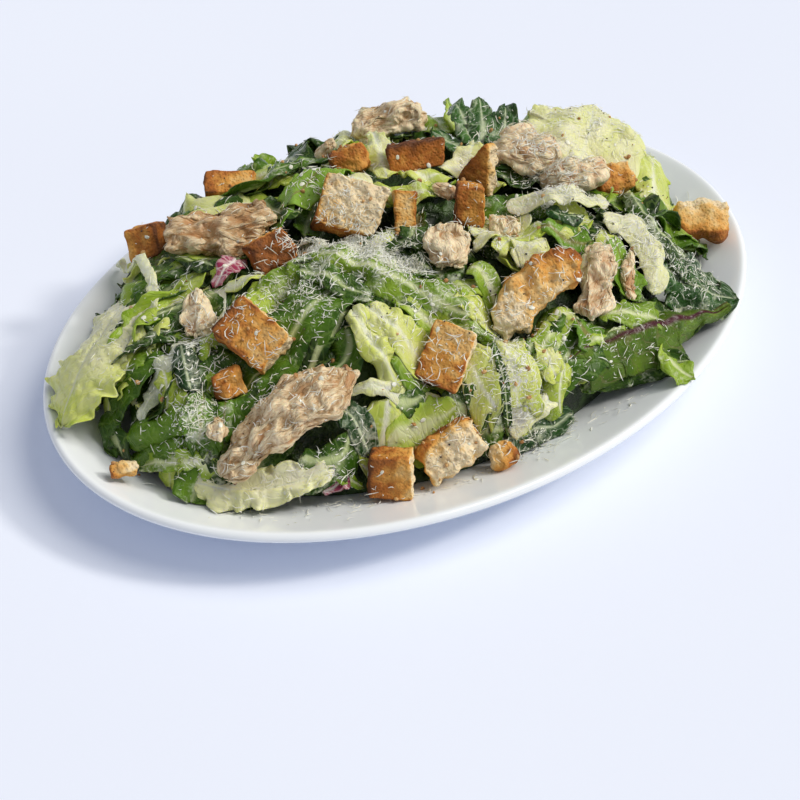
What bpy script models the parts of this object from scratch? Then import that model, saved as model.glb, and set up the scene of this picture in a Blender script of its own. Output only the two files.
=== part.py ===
"""Caesar salad on its oval platter.

One body of prepared food: a glazed oval platter, a mounded heap of dressed salad leaves, and the
croutons and shredded chicken pieces that are set into the top of the heap. Metres, +Z up. The origin
is the middle of the platter's foot, +X runs along the platter's long axis.
"""

import bmesh
import bpy
import numpy as np
from math import atan2, cos, degrees, exp, hypot, pi, radians, sin
from mathutils import Matrix, Vector, noise

MM = 0.001

# Platter: half length and half width over the lip, and the depths of its moulded profile.
HALF_LENGTH = 160.0 * MM
HALF_WIDTH = 114.4 * MM
WELL_HEIGHT = 6.1 * MM
LIP_HEIGHT = 26.0 * MM
PLATTER_SEGMENTS = 44

# Heap of leaves: height of its crown, thickness of its loose edge, and its outline as a share of the
# platter's ellipse.
CROWN_HEIGHT = 68.0 * MM
EDGE_THICKNESS = 7.0 * MM
OUTLINE_SHARE = 0.86
HEAP_SEGMENTS = 32
HEAP_RINGS = (0.955, 0.89, 0.80, 0.69, 0.56, 0.41, 0.24)
UNDERSIDE_RINGS = (0.54, 0.65, 0.75, 0.84, 0.92, 0.985)

# Gap left between the platter and whatever lies on it.
CLEARANCE = 0.5 * MM
# How far a topping's bed in the leaves stands off the topping.
BED_OFFSET = 0.6 * MM
# Fixes the unevenness of the bread, so that every run makes the same pieces.
NOISE_SEED = 5


def clear_scene():
    for old in list(bpy.data.objects):
        bpy.data.objects.remove(old, do_unlink=True)


def material(name, colour, roughness):
    made = bpy.data.materials.new(name)
    made.use_nodes = True
    shader = made.node_tree.nodes["Principled BSDF"]
    shader.inputs["Base Color"].default_value = (*colour, 1.0)
    shader.inputs["Roughness"].default_value = roughness
    shader.inputs["Metallic"].default_value = 0.0
    return made


def add_object(name, form, finish, smooth_angle=40.0):
    """Turns a bmesh into a named object of triangles with its faces pointing out."""
    bmesh.ops.triangulate(form, faces=form.faces)
    bmesh.ops.recalc_face_normals(form, faces=form.faces)
    if form.calc_volume(signed=True) < 0:
        bmesh.ops.reverse_faces(form, faces=form.faces)
    mesh = bpy.data.meshes.new(name)
    form.to_mesh(mesh)
    form.free()
    mesh.materials.append(finish)
    mesh.shade_smooth()
    mesh.set_sharp_from_angle(angle=radians(smooth_angle))
    made = bpy.data.objects.new(name, mesh)
    bpy.context.scene.collection.objects.link(made)
    return made


# ---------------------------------------------------------------- platter

# Upper face, from the lip inward, then the under face: distance in from the lip's outer edge, height.
LIP_OUTSIDE = (0.0, 24.0 * MM)
UPPER_PROFILE = (
    (0.7 * MM, 25.4 * MM),
    (2.0 * MM, LIP_HEIGHT),
    (3.6 * MM, 25.5 * MM),
    (6.0 * MM, 24.2 * MM),
    (12.0 * MM, 20.9 * MM),
    (20.0 * MM, 16.9 * MM),
    (30.0 * MM, 12.6 * MM),
    (44.0 * MM, 8.2 * MM),
    (62.0 * MM, WELL_HEIGHT),
)
UNDER_PROFILE = (
    (0.8 * MM, 22.3 * MM),
    (2.6 * MM, 20.9 * MM),
    (10.0 * MM, 16.8 * MM),
    (20.0 * MM, 11.8 * MM),
    (32.0 * MM, 7.0 * MM),
    (44.0 * MM, 3.8 * MM),
    (45.0 * MM, 0.0),
    (50.0 * MM, 0.0),
    (51.5 * MM, 2.6 * MM),
)


def platter_ring(form, inset, height):
    """One closed ring of the platter, the same distance in from the lip all round."""
    ring = []
    for index in range(PLATTER_SEGMENTS):
        angle = 2 * pi * index / PLATTER_SEGMENTS
        across = (HALF_LENGTH - inset) * cos(angle)
        along = (HALF_WIDTH - inset) * sin(angle)
        ring.append(form.verts.new((across, along, height)))
    return ring


def join_rings(form, first, second):
    count = len(first)
    for index in range(count):
        after = (index + 1) % count
        form.faces.new((first[index], first[after], second[after], second[index]))


def make_platter():
    form = bmesh.new()
    profile = list(reversed(UPPER_PROFILE)) + [LIP_OUTSIDE] + list(UNDER_PROFILE)
    rings = [platter_ring(form, inset, height) for inset, height in profile]
    for first, second in zip(rings, rings[1:]):
        join_rings(form, first, second)
    form.faces.new(rings[0])
    form.faces.new(rings[-1])
    return add_object("plate", form, material("porcelain", (0.86, 0.88, 0.88), 0.12), 35.0)


def inset_at(x, y):
    """Distance in from the lip's outer edge at a point of the platter, found by halving."""
    low = -0.02
    high = HALF_WIDTH - 0.001
    for _ in range(30):
        middle = (low + high) / 2
        if (x / (HALF_LENGTH - middle)) ** 2 + (y / (HALF_WIDTH - middle)) ** 2 > 1:
            high = middle
        else:
            low = middle
    return (low + high) / 2


def platter_top(x, y):
    insets = [inset for inset, _ in UPPER_PROFILE]
    heights = [height for _, height in UPPER_PROFILE]
    return float(np.interp(inset_at(x, y), insets, heights))


# ---------------------------------------------------------------- heap of leaves


def swell(angle, centre, width):
    """A smooth bulge of 1 at an angle, in degrees, fading over a width on each side."""
    gap = (angle - centre + 180) % 360 - 180
    return exp(-((gap / width) ** 2))


def mound_share(angle):
    """How far out the mound reaches, as a share of the platter's ellipse at an angle round it."""
    turn = degrees(angle)
    share = OUTLINE_SHARE
    share -= 0.030 * swell(turn, -8, 22)
    share -= 0.130 * swell(turn, -112, 38)
    share += 0.040 * swell(turn, 112, 34)
    share += 0.012 * sin(7 * angle + 0.6) + 0.010 * sin(11 * angle + 2.1)
    return share


def heap_share(angle):
    """The mound's reach, with the two low aprons of leaves that lie out towards the lip."""
    turn = degrees(angle)
    return mound_share(angle) + 0.095 * swell(turn, -47, 20) + 0.075 * swell(turn, 160, 18)


def heap_lumps(x, y):
    """Hollows and rises of the tossed leaves."""
    coarse = sin(x / 0.0095 + 1.3 * sin(y / 0.017)) * cos(y / 0.0083 + 0.7)
    fine = sin((x + y) / 0.0056 + 2) * sin((x - 1.4 * y) / 0.0071)
    return 2.2 * MM * coarse + 1.6 * MM * fine


def heap_top(x, y):
    """Height of the heap's upper surface, or of the platter where no leaves lie."""
    angle = atan2(y / HALF_WIDTH, x / HALF_LENGTH)
    reach = hypot(x / HALF_LENGTH, y / HALF_WIDTH)
    if reach > 1.001 * heap_share(angle):
        return platter_top(x, y)
    share = reach / mound_share(angle)
    if share >= 1:
        return platter_top(x, y) + EDGE_THICKNESS
    inner = max(share, 0.05)
    edge = platter_top(x / inner, y / inner) + EDGE_THICKNESS
    dome = (1 - share**2.8) ** 0.62
    return edge + (CROWN_HEIGHT - edge) * dome + heap_lumps(x, y) * (1 - share**4)


def heap_underside(x, y):
    return platter_top(x, y) + CLEARANCE


def heap_edge(x, y):
    return platter_top(x, y) + EDGE_THICKNESS


def heap_edge_middle(x, y):
    return platter_top(x, y) + 0.5 * EDGE_THICKNESS


def heap_ring(form, share, height):
    """One closed ring of the heap at a share of its outline, at the height that a function gives."""
    ring = []
    for index in range(HEAP_SEGMENTS):
        angle = 2 * pi * index / HEAP_SEGMENTS
        reach = share * heap_share(angle)
        x = HALF_LENGTH * reach * cos(angle)
        y = HALF_WIDTH * reach * sin(angle)
        ring.append(form.verts.new((x, y, height(x, y))))
    return ring


def make_heap():
    form = bmesh.new()
    rings = [heap_ring(form, share, heap_underside) for share in UNDERSIDE_RINGS]
    rings.append(heap_ring(form, 1.0, heap_edge_middle))
    rings.append(heap_ring(form, 0.99, heap_edge))
    rings.extend(heap_ring(form, share, heap_top) for share in HEAP_RINGS)
    for first, second in zip(rings, rings[1:]):
        join_rings(form, first, second)
    form.faces.new(rings[0])
    crown = form.verts.new((0, 0, heap_top(0, 0)))
    last = rings[-1]
    for index in range(HEAP_SEGMENTS):
        form.faces.new((last[index], last[(index + 1) % HEAP_SEGMENTS], crown))
    greens = material("dressed_leaves", (0.16, 0.30, 0.07), 0.45)
    return add_object("salad_greens", form, greens, 60.0)


# ---------------------------------------------------------------- croutons


def facing(azimuth, elevation, spin):
    """Rotation that turns local Z to a direction given in degrees, then spins about it."""
    turn = radians(azimuth)
    rise = radians(elevation)
    normal = Vector((cos(turn) * cos(rise), sin(turn) * cos(rise), sin(rise)))
    level = Vector((-sin(turn), cos(turn), 0))
    upward = normal.cross(level)
    frame = Matrix((level, upward, normal)).transposed()
    return frame @ Matrix.Rotation(radians(spin), 3, "Z")


def seat(points, x, y, lift):
    """Moves points, centred on zero, to a place on the heap, and up if they would enter the platter."""
    height = heap_top(x, y) + lift
    moved = [point + Vector((x, y, height)) for point in points]
    sunk = max(platter_top(point.x, point.y) + CLEARANCE - point.z for point in moved)
    rise = Vector((0, 0, max(0.0, sunk)))
    return [point + rise for point in moved]


def place(form, turn, x, y, lift):
    turned = [turn @ vertex.co for vertex in form.verts]
    for vertex, point in zip(form.verts, seat(turned, x, y, lift)):
        vertex.co = point


def crouton(name, size, at, lift, face, cells=3, square=7.0, wedge=0.0, curl=0.0, torn=0.05):
    """One toasted bread piece.

    size: length, width and thickness. at: place on the heap. lift: height of its centre over the
    heap. face: azimuth, elevation and spin of its broad side. cells: faces along each edge. square:
    how sharp its corners are, from 2 for round. wedge narrows it along its length, curl bends it
    sideways in degrees, torn is the depth of its unevenness as a share of its size.
    """
    form = bmesh.new()
    bmesh.ops.create_cube(form, size=2)
    bmesh.ops.subdivide_edges(form, edges=form.edges, cuts=cells - 1, use_grid_fill=True)
    length, width, thickness = size
    start = Vector((at[0] * 200, at[1] * 200, len(name) * 0.7))
    for vertex in form.verts:
        point = Vector([abs(value) ** 0.75 * (1 if value > 0 else -1) for value in vertex.co])
        norm = sum(abs(value) ** square for value in point) ** (1 / square)
        point /= norm
        point += noise.noise_vector(point * 1.3 + start) * torn * 2
        point += noise.noise_vector(point * 2.2 + start) * torn
        x = point.x * length / 2
        y = point.y * width / 2 * (1 - wedge * (point.x + 1) / 2)
        z = point.z * thickness / 2
        if curl:
            radius = length / radians(curl)
            angle = x / radius
            x = (radius - y) * sin(angle)
            y = radius - (radius - y) * cos(angle) - radius * (1 - cos(radians(curl) / 2)) / 2
        vertex.co = (x, y, z)
    place(form, facing(*face), at[0], at[1], lift)
    toasted = material(f"{name}_toast", (0.66, 0.36, 0.13), 0.75)
    return add_object(name, form, toasted, 35.0)


def make_croutons():
    """The croutons, from the left end of the platter to the right."""
    return [
        crouton("crouton_crumb_left", (0.011, 0.007, 0.006), (-0.1456, -0.0109), 0.003, (-120, 60, 5),
                3, 4.0, torn=0.10),
        crouton("crouton_rim_left", (0.015, 0.014, 0.012), (-0.0751, 0.0781), 0.004, (-150, 22, 20)),
        crouton("crouton_flat_back", (0.021, 0.011, 0.007), (-0.0345, 0.0765), 0.004, (-128, 72, 5)),
        crouton("crouton_large", (0.0285, 0.0185, 0.009), (-0.0879, -0.0159), 0.006, (-145, 50, -28)),
        crouton("crouton_under", (0.013, 0.011, 0.008), (-0.1021, -0.0194), 0.000, (-120, 35, 15)),
        crouton("crouton_inner_left", (0.019, 0.015, 0.010), (-0.0550, 0.0170), 0.003,
                (-120, 50, 25), 3, 5.0, torn=0.10),
        crouton("crouton_pale", (0.025, 0.021, 0.011), (-0.0180, 0.0150), 0.004, (-135, 50, -12),
                4, 5.5, torn=0.07),
        crouton("crouton_stick", (0.018, 0.009, 0.007), (0.0010, 0.0040), 0.001, (-125, 38, 88)),
        crouton("crouton_brown_back", (0.018, 0.012, 0.009), (0.0040, 0.0435), 0.003,
                (-125, 40, 10), 3, 4.5, torn=0.10),
        crouton("crouton_dark_slab", (0.022, 0.011, 0.010), (0.0260, 0.0275), 0.004, (-125, 25, 6)),
        crouton("crouton_wedge", (0.021, 0.019, 0.008), (0.0425, 0.0055), 0.004, (-165, 18, 82), 3,
                wedge=0.8),
        crouton("crouton_upright", (0.016, 0.011, 0.009), (0.0205, -0.0125), 0.003, (-128, 20, 88)),
        crouton("crouton_round_right", (0.018, 0.013, 0.012), (0.0945, -0.0185), 0.003,
                (-120, 50, 5), 4, 4.0, torn=0.09),
        crouton("crouton_rim_right", (0.025, 0.017, 0.012), (0.1285, -0.0410), 0.006,
                (-118, 62, -8), 4, 5.0, torn=0.08),
        crouton("crouton_torn_large", (0.042, 0.017, 0.014), (0.0135, -0.0614), 0.004,
                (-125, 46, 42), 5, 5.0, curl=-95, torn=0.09),
        crouton("crouton_centre", (0.0235, 0.016, 0.008), (-0.0309, -0.0610), 0.005, (-145, 48, 84)),
        crouton("crouton_front_left", (0.0165, 0.0190, 0.012), (-0.0679, -0.0728), 0.004,
                (-135, 10, 4)),
        crouton("crouton_front_torn", (0.025, 0.018, 0.014), (-0.0437, -0.0785), 0.004,
                (-125, 35, 35), 4, 4.5, torn=0.12),
        crouton("crouton_front_small", (0.011, 0.010, 0.008), (-0.0269, -0.0897), 0.003,
                (-120, 45, 20), 3, 4.0, torn=0.10),
    ]


# ---------------------------------------------------------------- chicken


def chicken(name, size, at, lift, heading, pitch=0.0, bow=0.0, strands=3, rings=10, sides=9):
    """One piece of pulled chicken: a tapered bundle of fibres with lengthwise grooves.

    size: length, width and thickness. heading and pitch: direction of its fibres in degrees.
    bow: sideways curve as a share of its length. strands: number of lengthwise ridges.
    """
    form = bmesh.new()
    length, width, thickness = size
    start = Vector((at[0] * 170, at[1] * 170, length * 90))
    loops = []
    for step in range(1, rings):
        share = step / rings
        full = (4 * share * (1 - share)) ** 0.42 * (1 + 0.16 * sin(7 * share + start.x))
        centre_y = bow * length * (4 * share * (1 - share) - 0.5)
        centre_z = 0.05 * length * sin(5 * share + start.y)
        loop = []
        for side in range(sides):
            angle = 2 * pi * side / sides
            groove = 1 + 0.13 * cos(strands * angle + 1.2 * share + start.z)
            rough = 1 + 0.22 * noise.noise(Vector((cos(angle), sin(angle), 5 * share)) + start)
            y = centre_y + width / 2 * full * groove * rough * cos(angle)
            z = centre_z + thickness / 2 * full * groove * rough * sin(angle)
            loop.append(form.verts.new(((share - 0.5) * length, y, z)))
        loops.append(loop)
    for first, second in zip(loops, loops[1:]):
        join_rings(form, first, second)
    for loop, end in ((loops[0], -0.5), (loops[-1], 0.5)):
        middle = sum((vertex.co for vertex in loop), Vector()) / sides
        tip = form.verts.new((end * length, middle.y, middle.z))
        for side in range(sides):
            form.faces.new((loop[side], loop[(side + 1) % sides], tip))
    turn = Matrix.Rotation(radians(heading), 3, "Z") @ Matrix.Rotation(radians(-pitch), 3, "Y")
    place(form, turn, at[0], at[1], lift)
    cooked = material(f"{name}_meat", (0.70, 0.55, 0.36), 0.6)
    return add_object(name, form, cooked, 60.0)


def make_chicken():
    """The pulled chicken, from the left end of the platter to the right."""
    return [
        chicken("chicken_front", (0.064, 0.024, 0.017), (-0.0946, -0.0457), 0.003, -12, 24, 0.06, 4,
                13, 11),
        chicken("chicken_scrap_front", (0.015, 0.008, 0.006), (-0.1144, -0.0309), 0.004, 60, 5, 0.1, 3,
                6, 7),
        chicken("chicken_coated", (0.024, 0.013, 0.009), (-0.0944, 0.0114), 0.003, -125, -12),
        chicken("chicken_back_left", (0.048, 0.027, 0.015), (-0.0600, 0.0470), 0.004, -38, 14, -0.05,
                4, 13, 11),
        chicken("chicken_tip", (0.012, 0.008, 0.007), (0.0060, 0.0630), 0.004, -60, 50, 0.05, 3, 6, 7),
        chicken("chicken_back", (0.034, 0.020, 0.015), (0.0423, 0.0660), 0.005, -35, 14, 0.08, 4),
        chicken("chicken_strip_mid", (0.014, 0.008, 0.006), (0.0190, 0.0010), 0.004, -75, 10, 0.1, 3,
                6, 7),
        chicken("chicken_centre", (0.023, 0.017, 0.013), (-0.0032, -0.0276), 0.004, -128, -8, 0.05, 4),
        chicken("chicken_shreds_mid", (0.014, 0.011, 0.007), (0.0270, -0.0260), 0.002, -110, -5, 0.1,
                3, 6, 7),
        chicken("chicken_right_inner", (0.026, 0.017, 0.013), (0.0650, 0.0050), 0.004, -50, 8, 0.08),
        chicken("chicken_right_outer", (0.026, 0.015, 0.012), (0.0745, -0.0160), 0.004, -28, -4, -0.1),
        chicken("chicken_strip_front", (0.036, 0.017, 0.012), (0.0408, -0.0655), 0.004, -137, -18,
                0.06, 4),
        chicken("chicken_strand_front", (0.027, 0.006, 0.005), (0.0589, -0.0675), 0.004, -130, -14,
                -0.1, 3, 8, 7),
    ]


# ---------------------------------------------------------------- beds of the toppings in the leaves


def bed_cutter(topping):
    """A copy of a topping, a little larger all round, that presses its bed into the heap."""
    form = bmesh.new()
    form.from_mesh(topping.data)
    form.normal_update()
    shifts = [vertex.normal * BED_OFFSET for vertex in form.verts]
    for vertex, shift in zip(form.verts, shifts):
        vertex.co += shift
    mesh = bpy.data.meshes.new(f"bed_{topping.name}")
    form.to_mesh(mesh)
    form.free()
    cutter = bpy.data.objects.new(mesh.name, mesh)
    cutter.hide_render = True
    cutter.display_type = "WIRE"
    bpy.context.scene.collection.objects.link(cutter)
    return cutter


def largest_piece(form):
    """Keeps the largest connected body of a bmesh and drops crumbs that a cut leaves."""
    left = set(form.verts)
    pieces = []
    while left:
        piece = set()
        edge = [left.pop()]
        while edge:
            vertex = edge.pop()
            piece.add(vertex)
            for link in vertex.link_edges:
                other = link.other_vert(vertex)
                if other in left:
                    left.remove(other)
                    edge.append(other)
        pieces.append(piece)
    pieces.sort(key=len)
    loose = [vertex for piece in pieces[:-1] for vertex in piece]
    bmesh.ops.delete(form, geom=loose, context="VERTS")


def press_beds(heap, toppings):
    cutters = [bed_cutter(topping) for topping in toppings]
    for cutter in cutters:
        cut = heap.modifiers.new(cutter.name, "BOOLEAN")
        cut.operation = "DIFFERENCE"
        cut.solver = "EXACT"
        cut.object = cutter
    graph = bpy.context.evaluated_depsgraph_get()
    form = bmesh.new()
    form.from_object(heap, graph)
    largest_piece(form)
    bmesh.ops.dissolve_degenerate(form, edges=form.edges, dist=0.00002)
    bmesh.ops.triangulate(form, faces=form.faces)
    heap.modifiers.clear()
    form.to_mesh(heap.data)
    form.free()
    for cutter in cutters:
        bpy.data.objects.remove(cutter, do_unlink=True)


clear_scene()
noise.seed_set(NOISE_SEED)
make_platter()
leaves = make_heap()
press_beds(leaves, make_croutons() + make_chicken())
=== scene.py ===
"""Looks of a caesar salad on its oval platter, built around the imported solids.

The sections follow the dish as it is put together: table and light, platter, packed greens, the
kinds of leaf, croutons, pulled chicken, grated cheese, crumbs and dressing. Metres, +Z up; places
and sizes of leaves are in millimetres on the platter, +X along its long axis.
"""

from math import cos, pi, radians, sin

import bpy
import numpy as np
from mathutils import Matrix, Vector
from mathutils.bvhtree import BVHTree
from mathutils.kdtree import KDTree


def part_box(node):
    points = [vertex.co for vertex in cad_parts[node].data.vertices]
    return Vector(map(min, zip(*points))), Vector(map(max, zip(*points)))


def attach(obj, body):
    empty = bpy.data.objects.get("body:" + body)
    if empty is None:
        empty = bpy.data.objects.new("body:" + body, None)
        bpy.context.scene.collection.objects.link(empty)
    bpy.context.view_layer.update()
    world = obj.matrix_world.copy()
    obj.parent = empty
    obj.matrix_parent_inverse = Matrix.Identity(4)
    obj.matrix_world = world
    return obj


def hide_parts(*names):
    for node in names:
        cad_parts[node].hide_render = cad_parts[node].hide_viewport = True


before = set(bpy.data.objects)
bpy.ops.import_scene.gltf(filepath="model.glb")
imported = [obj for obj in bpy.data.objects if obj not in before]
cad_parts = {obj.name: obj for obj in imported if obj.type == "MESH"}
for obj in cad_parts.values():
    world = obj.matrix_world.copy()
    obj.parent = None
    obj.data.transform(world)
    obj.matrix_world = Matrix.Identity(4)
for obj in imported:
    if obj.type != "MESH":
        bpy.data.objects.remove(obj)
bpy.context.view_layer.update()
MM = 0.001

# ---------------------------------------------------------------- table, light and camera
# A pale bluish sheet of matte card under the dish. A broad warm lamp hangs to the right with a
# small one low beside it, a bright surround fills the shade, and the camera looks down on the dish.

CAMERA_PLACE = (-0.3804, -0.4705, 0.5166)
CAMERA_TURN = -38.6
CAMERA_DOWN = 42.0
SURROUND_COLOUR = (0.36, 0.375, 0.41)
TABLE_HALF = 3.0

camera = bpy.data.objects.new("camera", bpy.data.cameras.new("camera"))
camera.data.lens = 85
camera.data.sensor_width = 36
camera.location = CAMERA_PLACE
camera.rotation_euler = (radians(90 - CAMERA_DOWN), 0, radians(CAMERA_TURN))
bpy.context.scene.collection.objects.link(camera)
bpy.context.scene.camera = camera


def add_lamp(name, rise, width, strength, colour):
    """A far lamp to the right of the view, at a height and of a width given in degrees."""
    lamp = bpy.data.objects.new(name, bpy.data.lights.new(name, "SUN"))
    lamp.data.energy = strength * pi / sin(radians(rise))
    lamp.data.angle = radians(width)
    lamp.data.color = colour
    lamp.rotation_euler = (0, radians(90 - rise), radians(CAMERA_TURN))
    bpy.context.scene.collection.objects.link(lamp)


add_lamp("broad_lamp", 56, 34, 0.40, (1.0, 0.97, 0.90))
add_lamp("small_lamp", 40, 8, 0.24, (1.0, 0.96, 0.88))

surround = bpy.data.worlds.new("surround")
surround.use_nodes = True
surround.node_tree.nodes["Background"].inputs["Color"].default_value = (*SURROUND_COLOUR, 1)
bpy.context.scene.world = surround
bpy.context.scene.view_settings.view_transform = "Standard"


def node(tree, kind, **settings):
    made = tree.nodes.new("ShaderNode" + kind)
    for key, value in settings.items():
        setattr(made, key, value)
    return made


def finish(name):
    """A new material with its node tree and its Principled shader."""
    made = bpy.data.materials.new(name)
    made.use_nodes = True
    tree = made.node_tree
    return made, tree, tree.nodes["Principled BSDF"]


def mix_colours(tree, share, first, second):
    """Colour output that goes from first to second; each is a socket or a colour."""
    made = node(tree, "Mix", data_type="RGBA")
    for socket, value in ((0, share), (6, first), (7, second)):
        if isinstance(value, bpy.types.NodeSocket):
            tree.links.new(value, made.inputs[socket])
        else:
            made.inputs[socket].default_value = (*value, 1)
    return made.outputs[2]


def span(tree, value, low, high, to_low=0.0, to_high=1.0):
    """A value brought smoothly from low..high to to_low..to_high."""
    made = node(tree, "MapRange", interpolation_type="SMOOTHSTEP")
    tree.links.new(value, made.inputs["Value"])
    for name, number in zip(("From Min", "From Max", "To Min", "To Max"), (low, high, to_low, to_high)):
        made.inputs[name].default_value = number
    return made.outputs["Result"]


def noise(tree, place, scale, detail=2.0, roughness=0.5):
    made = node(tree, "TexNoise")
    for name, number in (("Scale", scale), ("Detail", detail), ("Roughness", roughness)):
        made.inputs[name].default_value = number
    tree.links.new(place, made.inputs["Vector"])
    return made.outputs["Fac"]


def grain(tree, size, detail=3.0, roughness=0.55):
    """Noise whose lumps are about size metres across, fixed to the object."""
    return noise(tree, node(tree, "TexCoord").outputs["Object"], 1 / size, detail, roughness)


card, tree, shader = finish("pale_card")
shader.inputs["Roughness"].default_value = 0.9
shader.inputs["Specular IOR Level"].default_value = 0.1
shade = span(tree, grain(tree, 0.35, 1.0), 0.3, 0.7)
tree.links.new(mix_colours(tree, shade, (0.82, 0.85, 0.935), (0.835, 0.865, 0.945)),
               shader.inputs["Base Color"])
shader.inputs["Emission Color"].default_value = (0.2, 0.4, 1.0, 1)
shader.inputs["Emission Strength"].default_value = 0.06

table_mesh = bpy.data.meshes.new("table")
table_mesh.from_pydata([(-TABLE_HALF, -TABLE_HALF, 0), (TABLE_HALF, -TABLE_HALF, 0),
                        (TABLE_HALF, TABLE_HALF, 0), (-TABLE_HALF, TABLE_HALF, 0)], [], [(0, 1, 2, 3)])
table_mesh.materials.append(card)
table = bpy.data.objects.new("table", table_mesh)
bpy.context.scene.collection.objects.link(table)

# ---------------------------------------------------------------- platter
# Oval coupe platter of white glazed porcelain, pressed in one piece: a flat well, a wall that
# sweeps up to a rounded lip, and an unglazed foot ring under it, which here shares the glaze of the rest.

_, plate_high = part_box("plate")
HALF_LENGTH = plate_high.x
HALF_WIDTH = plate_high.y
PLATTER_SEGMENTS = 260
# Distance in from the lip's outer edge and height, in millimetres, from the well out and under.
PLATTER_PROFILE = (
    (75, 6.1), (62, 6.1), (54, 6.7), (44, 8.2), (37, 10.1), (30, 12.6), (25, 14.7), (20, 16.9),
    (16, 18.9), (12, 20.9), (9, 22.5), (6.4, 23.9), (4.8, 24.8), (3.6, 25.4), (2.7, 25.8), (2.0, 25.95),
    (1.3, 25.8), (0.6, 25.3), (0.2, 24.7), (0.0, 24.0), (0.2, 23.2), (0.8, 22.3), (2.6, 20.9),
    (6, 19.0), (10, 16.8), (15, 14.3), (20, 11.8), (26, 9.3), (32, 7.0), (38, 5.2), (43.4, 3.9),
    (44.4, 3.1), (44.8, 0.7), (45.5, 0.0), (49.6, 0.0), (50.3, 0.5), (51.2, 2.4), (52.5, 2.6), (75, 2.6),
)


def add_piece(name, points, faces, made, smooth=True):
    """A mesh object from arrays of points and of faces, riding on the dish."""
    mesh = bpy.data.meshes.new(name)
    points = np.asarray(points, np.float32)
    sizes = np.concatenate([np.full(len(part), part.shape[1]) for part in faces]).astype(np.int32)
    corners = np.concatenate([part.reshape(-1) for part in faces]).astype(np.int32)
    mesh.vertices.add(len(points))
    mesh.vertices.foreach_set("co", points.reshape(-1))
    mesh.loops.add(len(corners))
    mesh.loops.foreach_set("vertex_index", corners)
    mesh.polygons.add(len(sizes))
    mesh.polygons.foreach_set("loop_start", np.concatenate([[0], np.cumsum(sizes)[:-1]]).astype(np.int32))
    mesh.polygons.foreach_set("loop_total", sizes)
    mesh.update(calc_edges=True)
    mesh.polygons.foreach_set("use_smooth", np.full(len(sizes), smooth))
    mesh.materials.append(made)
    piece = bpy.data.objects.new(name, mesh)
    bpy.context.scene.collection.objects.link(piece)
    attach(piece, "root")
    return piece


def ring_faces(rings, count):
    """Quads between closed rings of count points that follow each other."""
    first = np.arange(count)
    after = (first + 1) % count
    quads = [np.stack([first, after, after + count, first + count], 1) + count * ring
             for ring in range(rings - 1)]
    return np.concatenate(quads)


def make_platter():
    angle = 2 * pi * np.arange(PLATTER_SEGMENTS) / PLATTER_SEGMENTS
    rings = []
    for inset, height in PLATTER_PROFILE:
        across = (HALF_LENGTH - inset * MM) * np.cos(angle)
        along = (HALF_WIDTH - inset * MM) * np.sin(angle)
        rings.append(np.stack([across, along, np.full_like(angle, height * MM)], 1))
    top = np.arange(PLATTER_SEGMENTS)[None, ::-1]
    last = np.arange(PLATTER_SEGMENTS)[None] + PLATTER_SEGMENTS * (len(rings) - 1)
    quads = ring_faces(len(rings), PLATTER_SEGMENTS)[:, ::-1]
    return np.concatenate(rings), [quads, top[:, ::-1], last[:, ::-1]]


def bump(tree, shader, height, depth, strength):
    """Relief of the given depth in metres on a shader."""
    made = node(tree, "Bump")
    made.inputs["Strength"].default_value = strength
    made.inputs["Distance"].default_value = depth
    tree.links.new(height, made.inputs["Height"])
    tree.links.new(made.outputs["Normal"], shader.inputs["Normal"])


def mottled(name, colours, size, low, gloss, relief, detail=2.0):
    """A finish that drifts between two colours: the material and its shader.

    size: of the patches, in metres. low: where they start, which sets how soft their edges are.
    gloss: size of its patches, least and most roughness. relief: size, depth and strength.
    """
    made, tree, shader = finish(name)
    share = span(tree, grain(tree, size, 2.0), low, 1 - low)
    tree.links.new(mix_colours(tree, share, *colours), shader.inputs["Base Color"])
    uneven = span(tree, grain(tree, gloss[0], 2.0), 0.3, 0.7, *gloss[1:])
    tree.links.new(uneven, shader.inputs["Roughness"])
    bump(tree, shader, grain(tree, relief[0], detail), *relief[1:])
    return made, shader


porcelain, _ = mottled("glazed_porcelain", ((0.87, 0.90, 0.925), (0.89, 0.92, 0.945)), 0.03, 0.35,
                       (0.012, 0.10, 0.17), (0.02, 0.0004, 0.12), 1.0)
platter = add_piece("platter", *make_platter(), porcelain)
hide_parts("plate")

# ---------------------------------------------------------------- packed greens in the middle
# The tossed leaves lie packed inside the heap, where they show only in the gaps; the core that stands for
# them is painted near-black, as the shade deep in those gaps.
# The core is a little smaller than the heap, and the loose leaves lie on it and over its edge.

GRID = 1.0
GRID_HALF = (166, 121)
NOTHING_ABOVE = 999
TOPPINGS = [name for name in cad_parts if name.startswith(("crouton_", "chicken_"))]


def tree_of(names):
    """A search tree over CAD nodes, in millimetres."""
    points = []
    faces = []
    for name in names:
        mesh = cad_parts[name].data
        start = len(points)
        points.extend(vertex.co / MM for vertex in mesh.vertices)
        faces.extend([start + index for index in face.vertices] for face in mesh.polygons)
    return BVHTree.FromPolygons(points, faces)


def cast_grid(solid, start, direction, empty):
    """Height of the first face met from a level, going up or down, over the whole grid."""
    xs = np.arange(-GRID_HALF[0], GRID_HALF[0] + GRID, GRID)
    ys = np.arange(-GRID_HALF[1], GRID_HALF[1] + GRID, GRID)
    heights = np.full((len(xs), len(ys)), float(empty))
    way = Vector((0, 0, direction))
    for row, x in enumerate(xs):
        for column, y in enumerate(ys):
            met = solid.ray_cast(Vector((x, y, start)), way)[0]
            if met is not None:
                heights[row, column] = met.z
    return heights


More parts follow.
